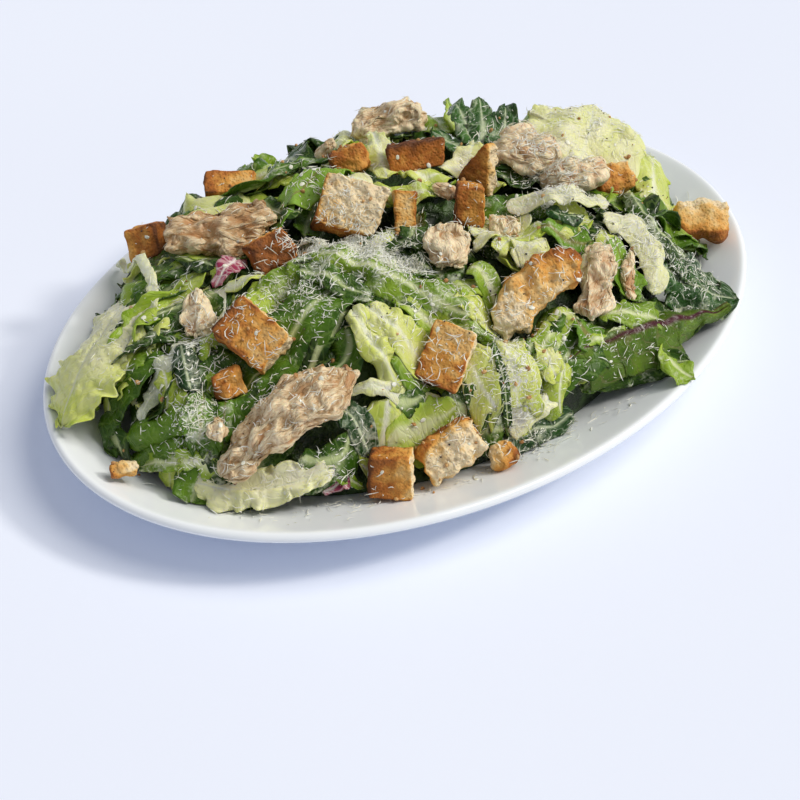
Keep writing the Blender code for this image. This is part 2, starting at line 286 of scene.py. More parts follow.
def blurred(grid, width):
    """A grid smoothed over a width in millimetres."""
    reach = np.arange(-int(2.5 * width), int(2.5 * width) + 1)
    weight = np.exp(-((reach / width) ** 2))
    weight /= weight.sum()
    padded = np.pad(grid, len(reach) // 2, mode="edge")
    rows = np.apply_along_axis(np.convolve, 0, padded, weight, mode="valid")
    return np.apply_along_axis(np.convolve, 1, rows, weight, mode="valid")


def sample(grid, x, y):
    """Value of a grid at places in millimetres, blended between its points."""
    row = np.clip((np.asarray(x) + GRID_HALF[0]) / GRID, 0, grid.shape[0] - 1.001)
    column = np.clip((np.asarray(y) + GRID_HALF[1]) / GRID, 0, grid.shape[1] - 1.001)
    i = row.astype(int)
    j = column.astype(int)
    a = row - i
    b = column - j
    near = grid[i, j] * (1 - b) + grid[i, j + 1] * b
    far = grid[i + 1, j] * (1 - b) + grid[i + 1, j + 1] * b
    return near * (1 - a) + far * a


ABOVE_PLATE = 60
ABOVE_HEAP = 120
DOME_BLUR = 4
plate_grid = cast_grid(tree_of(["plate"]), ABOVE_PLATE, -1, 0)
dome_grid = cast_grid(tree_of(["salad_greens"]), ABOVE_HEAP, -1, 0)
dome_grid = blurred(np.maximum(dome_grid, plate_grid), DOME_BLUR)
under_grid = cast_grid(tree_of(TOPPINGS), 0, 1, NOTHING_ABOVE) - dome_grid
ROOM_SLOPE = 0.85
ROOM_START = 1.2
ROOM_LEAST = -3.0
ROOM_MOST = 60.0
ROOM_ROUNDS = 40
ROOM_BLUR = 1.2


def room_under_toppings(under):
    """How far over the dome a leaf may rise, so that no leaf lies over a crouton or a chicken piece."""
    room = np.where(under < NOTHING_ABOVE / 2, np.maximum(under - ROOM_START, ROOM_LEAST), ROOM_MOST)
    rise = ROOM_SLOPE * GRID
    for _ in range(ROOM_ROUNDS):
        room[1:] = np.minimum(room[1:], room[:-1] + rise)
        room[:-1] = np.minimum(room[:-1], room[1:] + rise)
        room[:, 1:] = np.minimum(room[:, 1:], room[:, :-1] + rise)
        room[:, :-1] = np.minimum(room[:, :-1], room[:, 1:] + rise)
    return blurred(room, ROOM_BLUR)


room_grid = room_under_toppings(under_grid)


def waves(points, length, rng, count=7):
    """Smooth unevenness of about -1 to 1: plane waves of about one length in many directions."""
    total = 0
    for _ in range(count):
        direction = rng.normal(size=points.shape[-1])
        direction /= np.linalg.norm(direction)
        turns = points @ direction / (length * rng.uniform(0.7, 1.5))
        total = total + np.sin(2 * pi * turns + rng.uniform(0, 2 * pi))
    return total / np.sqrt(count)


CORE_SEED = 5
CORE_SEGMENTS = 150
CORE_RINGS = 34
CORE_RIM = 0.85
CORE_CROWN = 0.03
CORE_OVAL = 0.86
CORE_DEPTH = 10
CORE_GAP_UNDER = 0.4
CORE_GAP = 0.9


def make_core():
    angle = 2 * pi * np.arange(CORE_SEGMENTS) / CORE_SEGMENTS
    edge_x = CORE_OVAL * HALF_LENGTH / MM * np.cos(angle)
    edge_y = CORE_OVAL * HALF_WIDTH / MM * np.sin(angle)
    shares = np.linspace(CORE_RIM, CORE_CROWN, CORE_RINGS)
    rings = []
    for share in shares[:26:5][::-1]:
        x = share * edge_x
        y = share * edge_y
        rings.append(np.stack([x, y, sample(plate_grid, x, y) + CORE_GAP_UNDER], 1))
    for share in shares:
        x = share * edge_x
        y = share * edge_y
        rng = np.random.default_rng(CORE_SEED)
        flat = np.stack([x, y], 1)
        relief = 2.6 * waves(flat, 15, rng) + 1.4 * waves(flat, 6, rng)
        height = sample(dome_grid, x, y) + np.minimum(0, sample(room_grid, x, y)) - CORE_DEPTH + relief
        rings.append(np.stack([x, y, np.maximum(height, sample(plate_grid, x, y) + CORE_GAP)], 1))
    bottom = np.arange(CORE_SEGMENTS)[None, ::-1]
    top = np.arange(CORE_SEGMENTS)[None] + CORE_SEGMENTS * (len(rings) - 1)
    quads = ring_faces(len(rings), CORE_SEGMENTS)
    return np.concatenate(rings) * MM, [quads, bottom, top]


packed, tree, shader = finish("packed_leaves_painted_shade")
# Painted shade: near-black greens for the deep gaps between leaves, with uneven folds over them.
folds_and_shade = span(tree, grain(tree, 0.009, 4.0, 0.6), 0.35, 0.65)
tree.links.new(mix_colours(tree, folds_and_shade, (0.010, 0.022, 0.006), (0.05, 0.10, 0.018)),
               shader.inputs["Base Color"])
tree.links.new(span(tree, grain(tree, 0.004), 0.3, 0.7, 0.35, 0.6), shader.inputs["Roughness"])
bump(tree, shader, folds_and_shade, 0.002, 0.8)
core = add_piece("packed_greens", *make_core(), packed)
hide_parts("salad_greens")

# ---------------------------------------------------------------- outer romaine leaves
# Torn and cut pieces of the dark outer leaves of romaine: a thick pale rib, veins that branch from
# it and puckered green between them. They are tossed in dressing, which dulls them with a pale film.


HEAP_HALF = (137, 98, 66)


def outward(x, y, z):
    """Direction out of the heap's rounded surface."""
    way = np.stack([x / HEAP_HALF[0]**2, y / HEAP_HALF[1]**2, np.maximum(z, 12) / HEAP_HALF[2]**2], -1)
    return way / np.linalg.norm(way, axis=-1, keepdims=True)


def unit(vectors):
    return vectors / np.maximum(np.linalg.norm(vectors, axis=-1, keepdims=True), 1e-9)


def smooth_step(values):
    values = np.clip(values, 0, 1)
    return values * values * (3 - 2 * values)


def along_sum(rates, step, middle):
    """Running sum of rates outward from the middle column."""
    halves = (rates[:, 1:] + rates[:, :-1]) / 2 * step
    total = np.concatenate([np.zeros((len(rates), 1)), np.cumsum(halves, 1)], 1)
    return total - total[:, middle:middle + 1]


LEAF_SEED = 7000
VEIN_GAP = 6.5
VEIN_LEAN = 0.85
BLADE_OVER = 0.16
BLADE_UNDER = 0.32
LAYERS = 3.0
LAYER_STEP = 0.618
PLATE_GAP = 0.9
PRESSED = 0.15
RIB_THICK = 1.5
PALE_STEM = 0.16
DARK_MARGIN = 0.10
BLOTCHES = 0.07


def leaf(path, width, tone, film, form=(0.6, 0.75), roll=0, fold=(0, 0), cup=-0.25, curl=(0, 0),
         ruffle=0.7, wave=11, pucker=0.4, crumple=0.4, rib=1.8, fade=0, spacing=0.85):
    """One leaf as a thin closed sheet of points, quads and values for its finish.

    path: where the rib runs from stem to tip. tone: 0 dark to 1 cream. film: how much dressing
    clings to it. form: width at the base as a share, and where the tip starts to round off. roll:
    degrees it leans about its rib. fold, curl: degrees each side turns up at the rib and rolls near
    its edge. cup: degrees/60 that each side bends. ruffle, wave: height and length of the waves of
    its edge. pucker: height of the blisters between its veins. crumple: how unevenly it bends. rib:
    how wide its rib is. fade: how much darker the tip is. spacing: of its points, in millimetres.
    """
    leaf.count += 1
    rng = np.random.default_rng(LEAF_SEED + leaf.count)
    path = np.array(path, float)
    chords = np.linalg.norm(np.diff(path, axis=0), axis=1)
    rows = int(np.clip(chords.sum() / spacing, 18, 90))
    columns = 2 * int(np.clip(width / spacing / 2, 5, 25)) + 1
    middle = columns // 2
    u = np.linspace(0, 1, rows)[:, None]
    v = np.linspace(-1, 1, columns)[None, :]
    along = np.concatenate([[0], np.cumsum(chords)]) / chords.sum()
    bends = np.polyfit(along, path, min(len(path) - 1, 3))
    spine = np.stack([np.polyval(bends[:, axis], u[:, 0]) for axis in range(3)], 1)
    spine[:, 2] += 0.8 * waves(u * chords.sum(), 17, rng)
    tangent = unit(np.gradient(spine, axis=0))
    length = np.linalg.norm(np.diff(spine, axis=0), axis=1).sum()
    right = unit(np.cross(tangent, outward(spine[:, 0], spine[:, 1], spine[:, 2])))
    face = np.cross(right, tangent)
    angle = np.radians(np.full_like(u, roll))
    right, face = (np.cos(angle) * right + np.sin(angle) * face,
                   np.cos(angle) * face - np.sin(angle) * right)

    base, shoulder = form
    body = base + (1 - base) * smooth_step(u / 0.5)
    tip_round = np.sqrt(np.clip(1 - (np.maximum(0, u - shoulder) / (1 - shoulder)) ** 2, 0.0004, 1))
    base_round = np.sqrt(np.clip(1 - (np.maximum(0, 0.05 - u) / 0.05) ** 2, 0.05, 1))
    edge = np.concatenate([u * length, np.zeros_like(u)], 1)
    ragged = [1 + 0.05 * waves(edge + [0, 9 * side], 9, rng) + 0.02 * waves(edge, 3.6, rng)
              for side in (0, 1)]
    half = width / 2 * body * tip_round * base_round
    half = half * np.where(v < 0, ragged[0][:, None], ragged[1][:, None])

    reach = np.abs(v)
    flat = np.stack([np.broadcast_to(v * width / 2, (rows, columns)),
                     np.broadcast_to(u * length, (rows, columns))], -1)
    fold = np.radians(np.where(v < 0, fold[0], fold[1]))
    curl = np.radians(np.where(v < 0, curl[0], curl[1]))
    turn = fold * smooth_step(reach / 0.15) * (1 - 0.25 * u) + cup * reach
    turn = turn + curl * np.maximum(0, (reach - 0.35) / 0.65) ** 1.4
    turn = turn + 0.16 * waves(flat, width * 0.9, rng)
    turn = turn + crumple * waves(flat * [1, 0.45], 0.42 * width + 1.5, rng) * smooth_step(reach / 0.2)
    step = 2 / (columns - 1)
    out = along_sum(np.cos(turn), step, middle) * half
    lifted = along_sum(np.sin(turn) * np.sign(v + 1e-9), step, middle) * half

    frill = np.sin(2 * pi * u * length / wave + rng.uniform(0, 6, 2)[(v > 0).astype(int)])
    frill = frill + 0.6 * np.sin(2 * pi * u * length / (0.57 * wave) + 2.2 * v + rng.uniform(0, 6))
    margin = reach**3
    lifted = lifted + ruffle * margin * frill
    drift = 1.6 * waves(flat, 13, rng)
    vein = np.abs(np.sin(pi * (flat[..., 1] - VEIN_LEAN * np.abs(flat[..., 0]) + drift) / VEIN_GAP))
    pillow = vein**0.6 * (0.6 + 0.5 * waves(flat, 5.5, rng)) + 0.6 * waves(flat, 3.4, rng)
    rib_width = np.maximum(rib * (1 - 0.8 * u), 0.25)
    on_rib = np.exp(-((flat[..., 0] / rib_width) ** 4)) if rib else np.zeros((rows, columns))
    lifted = lifted + pucker * pillow * (1 - on_rib) - 0.5 * min(rib, 1.5) * on_rib * (1 - u)

    sheet = spine[:, None] + right[:, None] * out[..., None] + face[:, None] * lifted[..., None]
    sheet = sheet + tangent[:, None] * (min(0.04 * width, 0.5) * waves(flat, 9, rng))[..., None]
    room = sample(dome_grid, sheet[..., 0], sheet[..., 1]) + sample(room_grid, sheet[..., 0], sheet[..., 1])
    room = room - LAYERS * (leaf.count * LAYER_STEP % 1)
    over = sheet[..., 2] - room
    sheet[..., 2] = np.where(over > 0, room + PRESSED * over, sheet[..., 2])
    floor = sample(plate_grid, sheet[..., 0], sheet[..., 1]) + PLATE_GAP
    sheet[..., 2] = np.maximum(sheet[..., 2], floor)

    normal = unit(np.cross(np.gradient(sheet, axis=1), np.gradient(sheet, axis=0)))
    under = BLADE_UNDER + RIB_THICK * on_rib * min(rib, 2.0) / 2 * (1 - 0.85 * u)
    upper = sheet + normal * BLADE_OVER
    lower = sheet - normal * under[..., None]
    lower[..., 2] = np.maximum(lower[..., 2], floor - 0.5)

    number = np.arange(rows * columns).reshape(rows, columns)
    quads = np.stack([number[:-1, :-1], number[:-1, 1:], number[1:, 1:], number[1:, :-1]], -1)
    quads = quads.reshape(-1, 4)
    border = np.concatenate([number[0, :-1], number[:-1, -1], number[-1, :0:-1], number[:0:-1, 0]])
    after = np.roll(border, -1)
    count = rows * columns
    walls = np.stack([after, border, border + count, after + count], 1)
    pale = tone + PALE_STEM * (1 - u) ** 2 - fade * u**2 - DARK_MARGIN * margin
    pale = pale + BLOTCHES * waves(flat, 14, rng)
    pale = pale + rng.uniform(-0.03, 0.03)
    coat = film * (1 + 0.5 * waves(flat, 18, rng))
    uv = flat * MM + rng.uniform(0, 1, 2)
    values = [np.concatenate([np.broadcast_to(part, (rows, columns)).reshape(-1)] * 2)
              for part in (pale, coat, on_rib)]
    points = np.concatenate([upper.reshape(-1, 3), lower.reshape(-1, 3)])
    faces = np.concatenate([quads, quads[:, ::-1] + count, walls])
    return points, faces, values, np.concatenate([uv.reshape(-1, 2)] * 2)


leaf.count = 0
leaf_pieces = []
landing_shapes = []


def joined(parts):
    """Points of several parts in one array, and the faces of each numbered to match."""
    starts = np.cumsum([0] + [len(points) for points, _ in parts])
    points = np.concatenate([points for points, _ in parts])
    return points, [faces + start for (_, faces), start in zip(parts, starts)]


def add_values(piece, label, data):
    """A number or a vector at each point of a piece, for its finish."""
    data = np.asarray(data, np.float32)
    kind, field = ("FLOAT", "value") if data.ndim == 1 else ("FLOAT_VECTOR", "vector")
    piece.data.attributes.new(label, kind, "POINT").data.foreach_set(field, data.reshape(-1))


def add_leaves(name, leaves, made):
    """Joins leaves of one kind into one piece that carries their tone, film and rib values."""
    points, quads = joined([shape[:2] for shape in leaves])
    quads = np.concatenate(quads)
    landing_shapes.append((points, [quads]))
    piece = add_piece(name, points * MM, [quads], made)
    for index, label in enumerate(("tone", "film", "rib")):
        add_values(piece, label, np.concatenate([shape[2][index] for shape in leaves]))
    sheet = np.concatenate([shape[3] for shape in leaves]).astype(np.float32)[quads.reshape(-1)]
    piece.data.uv_layers.new(name="sheet").data.foreach_set("uv", sheet.reshape(-1))
    leaf_pieces.append(piece)


def maths(tree, operation, *values):
    made = node(tree, "Math", operation=operation)
    for socket, value in zip(made.inputs, values):
        if isinstance(value, bpy.types.NodeSocket):
            tree.links.new(value, socket)
        else:
            socket.default_value = value
    return made.outputs[0]


def nudged(tree, value, by, amount):
    """A value moved up and down by noise, which lies about 0.5."""
    return maths(tree, "ADD", value, maths(tree, "MULTIPLY", maths(tree, "SUBTRACT", by, 0.5), amount))


def new_group(name, inputs, outputs):
    """An empty shader node group with float or vector inputs and float outputs."""
    group = bpy.data.node_groups.new(name, "ShaderNodeTree")
    for label, kind, value in inputs:
        socket = group.interface.new_socket(label, in_out="INPUT", socket_type=f"NodeSocket{kind}")
        if kind == "Float":
            socket.default_value = value
    for label in outputs:
        group.interface.new_socket(label, in_out="OUTPUT", socket_type="NodeSocketFloat")
    return group, group.nodes.new("NodeGroupInput"), group.nodes.new("NodeGroupOutput")


def cells(tree, place, scale, feature):
    """How far each place is from the middle or the border of its cell."""
    made = node(tree, "TexVoronoi", feature=feature)
    made.inputs["Scale"].default_value = scale
    tree.links.new(place, made.inputs["Vector"])
    return made.outputs["Distance"]


def make_vein_group():
    """Side veins that branch forward from the rib and a fine net between them."""
    group, given, result = new_group(
        "leaf_veins", [("Sheet", "Vector", None), ("Spacing", "Float", 0.0065), ("Width", "Float", 0.0005)],
        ["Vein", "Net", "Relief"])
    sheet = given.outputs["Sheet"]
    parts = node(group, "SeparateXYZ")
    group.links.new(sheet, parts.inputs[0])
    lean = maths(group, "MULTIPLY", maths(group, "ABSOLUTE", parts.outputs[0]), VEIN_LEAN)
    place = nudged(group, maths(group, "SUBTRACT", parts.outputs[1], lean), noise(group, sheet, 140), 0.014)
    turns = maths(group, "DIVIDE", place, given.outputs["Spacing"])
    gap = maths(group, "MULTIPLY", maths(group, "PINGPONG", turns, 0.5), given.outputs["Spacing"])
    vein = span(group, maths(group, "DIVIDE", gap, given.outputs["Width"]), 0.4, 1.6, 1.0, 0.0)
    net = span(group, cells(group, sheet, 330, "DISTANCE_TO_EDGE"), 0.02, 0.16, 1.0, 0.0)
    raised = maths(group, "MAXIMUM", vein, maths(group, "MULTIPLY", net, 0.7))
    relief = maths(group, "SUBTRACT", 1.0, raised)
    for label, value in (("Vein", vein), ("Net", net), ("Relief", relief)):
        group.links.new(value, result.inputs[label])
    return group


def make_film_group():
    """Smears of thin dressing: more of the surface is covered as the amount grows."""
    group, given, result = new_group("dressing_film", [("Amount", "Float", 0.3)], ["Film", "Relief"])
    smear = grain(group, 0.006, 4.0, 0.62)
    fleck = grain(group, 0.0014, 2.0, 0.5)
    both = maths(group, "ADD", maths(group, "MULTIPLY", smear, 0.68), maths(group, "MULTIPLY", fleck, 0.32))
    level = maths(group, "ADD", both, maths(group, "MULTIPLY", given.outputs["Amount"], 0.23))
    film = span(group, level, 0.60, 0.78)
    group.links.new(film, result.inputs["Film"])
    group.links.new(maths(group, "MULTIPLY", film, fleck), result.inputs["Relief"])
    return group


vein_group = make_vein_group()
film_group = make_film_group()
DRESSING = (0.74, 0.76, 0.58)
CHEESE_DUST = (0.80, 0.80, 0.70)


def value_at(tree, label, output="Fac"):
    """What add_values stored at the points."""
    return node(tree, "Attribute", attribute_name=label).outputs[output]


def ramped(tree, value, stops):
    """Colour output that runs through stops of a place from 0 to 1 and a colour."""
    ramp = node(tree, "ValToRGB")
    elements = ramp.color_ramp.elements
    for _ in stops[2:]:
        elements.new(0.5)
    for element, (place, colour) in zip(elements, stops):
        element.position = place
        element.color = (*colour, 1)
    tree.links.new(value, ramp.inputs["Fac"])
    return ramp.outputs["Color"]


def let_light_in(shader, weight, radius, scale):
    for name, value in (("Weight", weight), ("Radius", radius), ("Scale", scale)):
        shader.inputs["Subsurface " + name].default_value = value


def leaf_finish(name, tones, rib_colour, vein_colour, spacing=6.5, vein=0.25, net=0.10, film_share=0.62,
                glow=0.3):
    """Finish of a kind of leaf. tones: colours from its darkest to its palest."""
    made, tree, shader = finish(name)
    stops = [(index / (len(tones) - 1), colour) for index, colour in enumerate(tones)]
    blade = ramped(tree, nudged(tree, value_at(tree, "tone"), grain(tree, 0.005, 4.0), 0.32), stops)
    veins = node(tree, "Group", node_tree=vein_group)
    tree.links.new(node(tree, "UVMap", uv_map="sheet").outputs["UV"], veins.inputs["Sheet"])
    veins.inputs["Spacing"].default_value = spacing * MM
    veins.inputs["Width"].default_value = 0.45 * MM
    smear = node(tree, "Group", node_tree=film_group)
    tree.links.new(value_at(tree, "film"), smear.inputs["Amount"])
    film = smear.outputs["Film"]
    blade = mix_colours(tree, maths(tree, "MULTIPLY", veins.outputs["Net"], net), blade, vein_colour)
    blade = mix_colours(tree, maths(tree, "MULTIPLY", veins.outputs["Vein"], vein), blade, vein_colour)
    blade = mix_colours(tree, value_at(tree, "rib"), blade, rib_colour)
    coated = mix_colours(tree, maths(tree, "MULTIPLY", film, film_share), blade, DRESSING)
    dust = maths(tree, "MULTIPLY", value_at(tree, "cheese_dust"), 0.34)
    dust = span(tree, maths(tree, "ADD", grain(tree, 0.0011, 3.0, 0.6), dust), 0.70, 0.80, 0.0, 0.85)
    tree.links.new(mix_colours(tree, dust, coated, CHEESE_DUST), shader.inputs["Base Color"])
    tree.links.new(maths(tree, "SUBTRACT", 0.32, maths(tree, "MULTIPLY", film, 0.14)),
                   shader.inputs["Roughness"])
    height = maths(tree, "MULTIPLY", veins.outputs["Relief"], 0.6)
    bump(tree, shader, maths(tree, "ADD", height, smear.outputs["Relief"]), 0.0005, 0.5)
    shader.inputs["Specular IOR Level"].default_value = 0.2
    let_light_in(shader, glow, (0.9, 1.0, 0.35), 0.004 * glow)
    return made


ROLLED = {"fold": (-25, -25), "curl": (-150, -150), "cup": -0.5, "pucker": 0.12, "crumple": 0.08,
          "ruffle": 0.2, "rib": 0, "form": (0.8, 0.8)}


outer_finish = leaf_finish(
    "outer_romaine", [(0.008, 0.026, 0.002), (0.030, 0.082, 0.004), (0.095, 0.20, 0.010),
                      (0.25, 0.39, 0.028), (0.50, 0.60, 0.13)],
    (0.50, 0.57, 0.28), (0.26, 0.38, 0.09))
outer = [
    leaf([(-105, 74, 23), (-106, 50, 43), (-103, 35, 54)], 6, 0.05, 0.3, ruffle=1.2, rib=0.6),
    leaf([(-89, 54, 54), (-101, 37, 55), (-109, 22, 54)], 11, 0.22, 0.15, pucker=0.2),
    leaf([(-113, 9, 54), (-126, 9, 45), (-136, 12, 29), (-140, 4, 18)], 12, 0.28, 0.05, rib=0, pucker=0.2,
         crumple=0.2, ruffle=0.5, fold=(10, 15), form=(0.6, 0.7)),
    leaf([(-108, 24, 55), (-111, 14, 53), (-119, 8, 47)], 11, 0.02, 0.3, pucker=0.6, ruffle=1.2),
    leaf([(-116, -23, 47), (-127, -13, 41), (-137, 2, 27)], 24, 0.46, 0.0, **ROLLED),
    leaf([(-119, -26, 41), (-130, -17, 33), (-137, -1, 20)], 19, 0.42, 0.0, **ROLLED),
    leaf([(-136, 13, 26), (-139, 3, 24), (-138, 0, 18)], 11, 0.06, 0.2, pucker=0.4),
    leaf([(-102, 7, 60), (-107, -6, 59), (-113, -16, 51)], 19, 0.00, 0.12, form=(0.8, 0.7), cup=-0.8,
         pucker=0.2, crumple=0.25, rib=0.8),
    leaf([(-110, -37, 40), (-117, -36, 37), (-124, -33, 30)], 10, 0.12, 0.3),
    leaf([(-81, -63, 31), (-93, -61, 27), (-104, -54, 26)], 9, 0.16, 0.4),
    leaf([(-95, -54, 36), (-82, -62, 36), (-76, -59, 41)], 10, 0.18, 0.3),
    leaf([(-47, -15, 71), (-77, -24, 67), (-100, -23, 58), (-116, -17, 47)], 27, 0.30, 0.25, ruffle=0.25,
         pucker=0.12, crumple=0.1, form=(0.85, 0.85), rib=1.3, cup=-0.1),
    leaf([(-47, -24, 66), (-72, -35, 62), (-90, -36, 52)], 7, 0.03, 0.1),
    leaf([(-57, -23, 61), (-68, -31, 57), (-83, -38, 49)], 24, 0.02, 0),
    leaf([(-58, -34, 64), (-61, -40, 59), (-71, -41, 55)], 16, 0.30, 0.1, pucker=0.2),
    leaf([(-54, 2, 72), (-43, -23, 70), (-24, -48, 65)], 12, 0.20, 0.4, fold=(0, -30), ruffle=0.5,
         pucker=0.3),
    leaf([(-62, 14, 68), (-55, 4, 73), (-44, 0, 74)], 9, 0.12, 0.3),
    leaf([(-58, -61, 46), (-51, -63, 46), (-44, -64, 46)], 6, 0.28, 0.3),
    leaf([(-42, -69, 42), (-33, -77, 37), (-21, -84, 32)], 11, 0.24, 0.4, pucker=0.3),
    leaf([(-39, -67, 44), (-29, -75, 41), (-21, -81, 37)], 12, 0.08, 0.3),
    leaf([(17, -87, 30), (41, -90, 27), (63, -99, 28)], 12, 0.22, 0.25, ruffle=0.9),
    leaf([(96, -26, 56), (81, -55, 62), (93, -65, 43)], 15, 0.14, 0.45, fold=(-45, -40), pucker=0.4,
         rib=1.0),
    leaf([(6, 2, 74), (-3, -7, 72), (-16, -20, 73)], 11, 0.16, 0.1),
    leaf([(-2, -75, 50), (10, -70, 57), (20, -67, 59)], 10, 0.35, 0.3),
    leaf([(57, -75, 46), (70, -80, 33), (80, -87, 30)], 14, 0.10, 0.5),
    leaf([(-39, 82, 55), (-32, 64, 68), (-11, 58, 69)], 12, 0.40, 0.45, pucker=0.3),
    leaf([(-77, 51, 60), (-78, 37, 65), (-78, 23, 68)], 12, 0.14, 0.15),
    leaf([(-38, 47, 70), (-38, 35, 72), (-35, 25, 73)], 11, 0.12, 0.4),
    leaf([(77, -71, 40), (89, -73, 27), (91, -84, 23)], 15, 0.10, 0.3, pucker=0.3),
    leaf([(97, -63, 38), (106, -66, 26), (99, -81, 30)], 12, 0.08, 0.3, pucker=0.3),
    leaf([(-56, -3, 73), (-50, -20, 74), (-44, -32, 70)], 11, 0.22, 0.5, pucker=0.3),
    leaf([(-20, 61, 65), (-9, 61, 67), (5, 59, 65)], 13, 0.32, 0.3, pucker=0.3),
    leaf([(-15, -69, 58), (-18, -79, 48), (-20, -85, 33)], 4, 0.08, 0.1, pucker=0.2, rib=0.3),
    leaf([(-28, -69, 52), (-29, -76, 44), (-28, -81, 34)], 6, 0.12, 0.2, pucker=0.2, rib=0.3),
]

# ---------------------------------------------------------------- inner romaine leaves
# Lighter green pieces from further in: longer, with wider ribs and less blistered green.

inner_finish = leaf_finish(
    "inner_romaine", [(0.032, 0.078, 0.004), (0.11, 0.21, 0.010), (0.27, 0.40, 0.028), (0.50, 0.60, 0.10),
                      (0.68, 0.73, 0.26)],
    (0.64, 0.69, 0.38), (0.48, 0.57, 0.20), glow=0.45)
inner = [
    leaf([(-117, -36, 37), (-129, -25, 32), (-136, -7, 20)], 7, 0.42, 0.5, ruffle=1.4, wave=8),
    leaf([(-88, -62, 30), (-82, -65, 25), (-76, -67, 20)], 6, 0.40, 0.1),
    leaf([(-52, 15, 72), (-42, -13, 78), (-27, -37, 71), (-13, -58, 63), (-2, -72, 54)], 20, 0.30, 0.4,
         fold=(-18, -38), pucker=0.35, crumple=0.25, ruffle=0.5, rib=1.8, form=(0.85, 0.8)),
    leaf([(-49, -47, 60), (-46, -56, 56), (-40, -63, 50)], 12, 0.30, 0.1, pucker=0.4),
    leaf([(-64, -66, 37), (-49, -68, 42), (-34, -71, 47)], 9, 0.60, 0.2, pucker=0.12, crumple=0.12,
         ruffle=0.3, rib=2.2),
    leaf([(-60, -67, 33), (-53, -69, 36), (-45, -69, 39)], 8, 0.50, 0.2),
    leaf([(25, -71, 57), (10, -74, 53), (-3, -80, 46)], 12, 0.52, 0.4, pucker=0.4),
    leaf([(-7, -52, 64), (-6, -62, 60), (-5, -73, 52)], 11, 0.40, 0.4),
    leaf([(14, -87, 35), (20, -87, 36), (24, -88, 28)], 7, 0.60, 0.2),
    leaf([(22, -81, 47), (38, -84, 44), (54, -84, 38)], 7, 0.50, 0.5, ruffle=0.8),
    leaf([(56, -91, 30), (54, -102, 30), (57, -107, 26)], 13, 0.42, 0.35, ruffle=1.4, pucker=0.4),
    leaf([(36, -73, 55), (49, -80, 47), (68, -81, 33)], 12, 0.36, 0.4, ruffle=1.4, wave=9, pucker=0.5),
    leaf([(40, -53, 65), (30, -56, 66), (24, -51, 68)], 9, 0.70, 0.3),
    leaf([(-1, -38, 73), (2, -46, 69), (-2, -57, 64)], 12, 0.36, 0.5),
    leaf([(-2, 24, 72), (4, 11, 77), (19, 5, 75)], 7, 0.72, 0.5, pucker=0.3),
    leaf([(-35, -36, 68), (-28, -47, 66), (-17, -58, 62)], 9, 0.50, 0.3, pucker=0.3, crumple=0.3),
]

# ---------------------------------------------------------------- romaine hearts and ribs
# The pale, crinkled leaves from the middle of the head, cream to yellow-green, with fleshy white
# ribs; some pieces are nearly all rib.

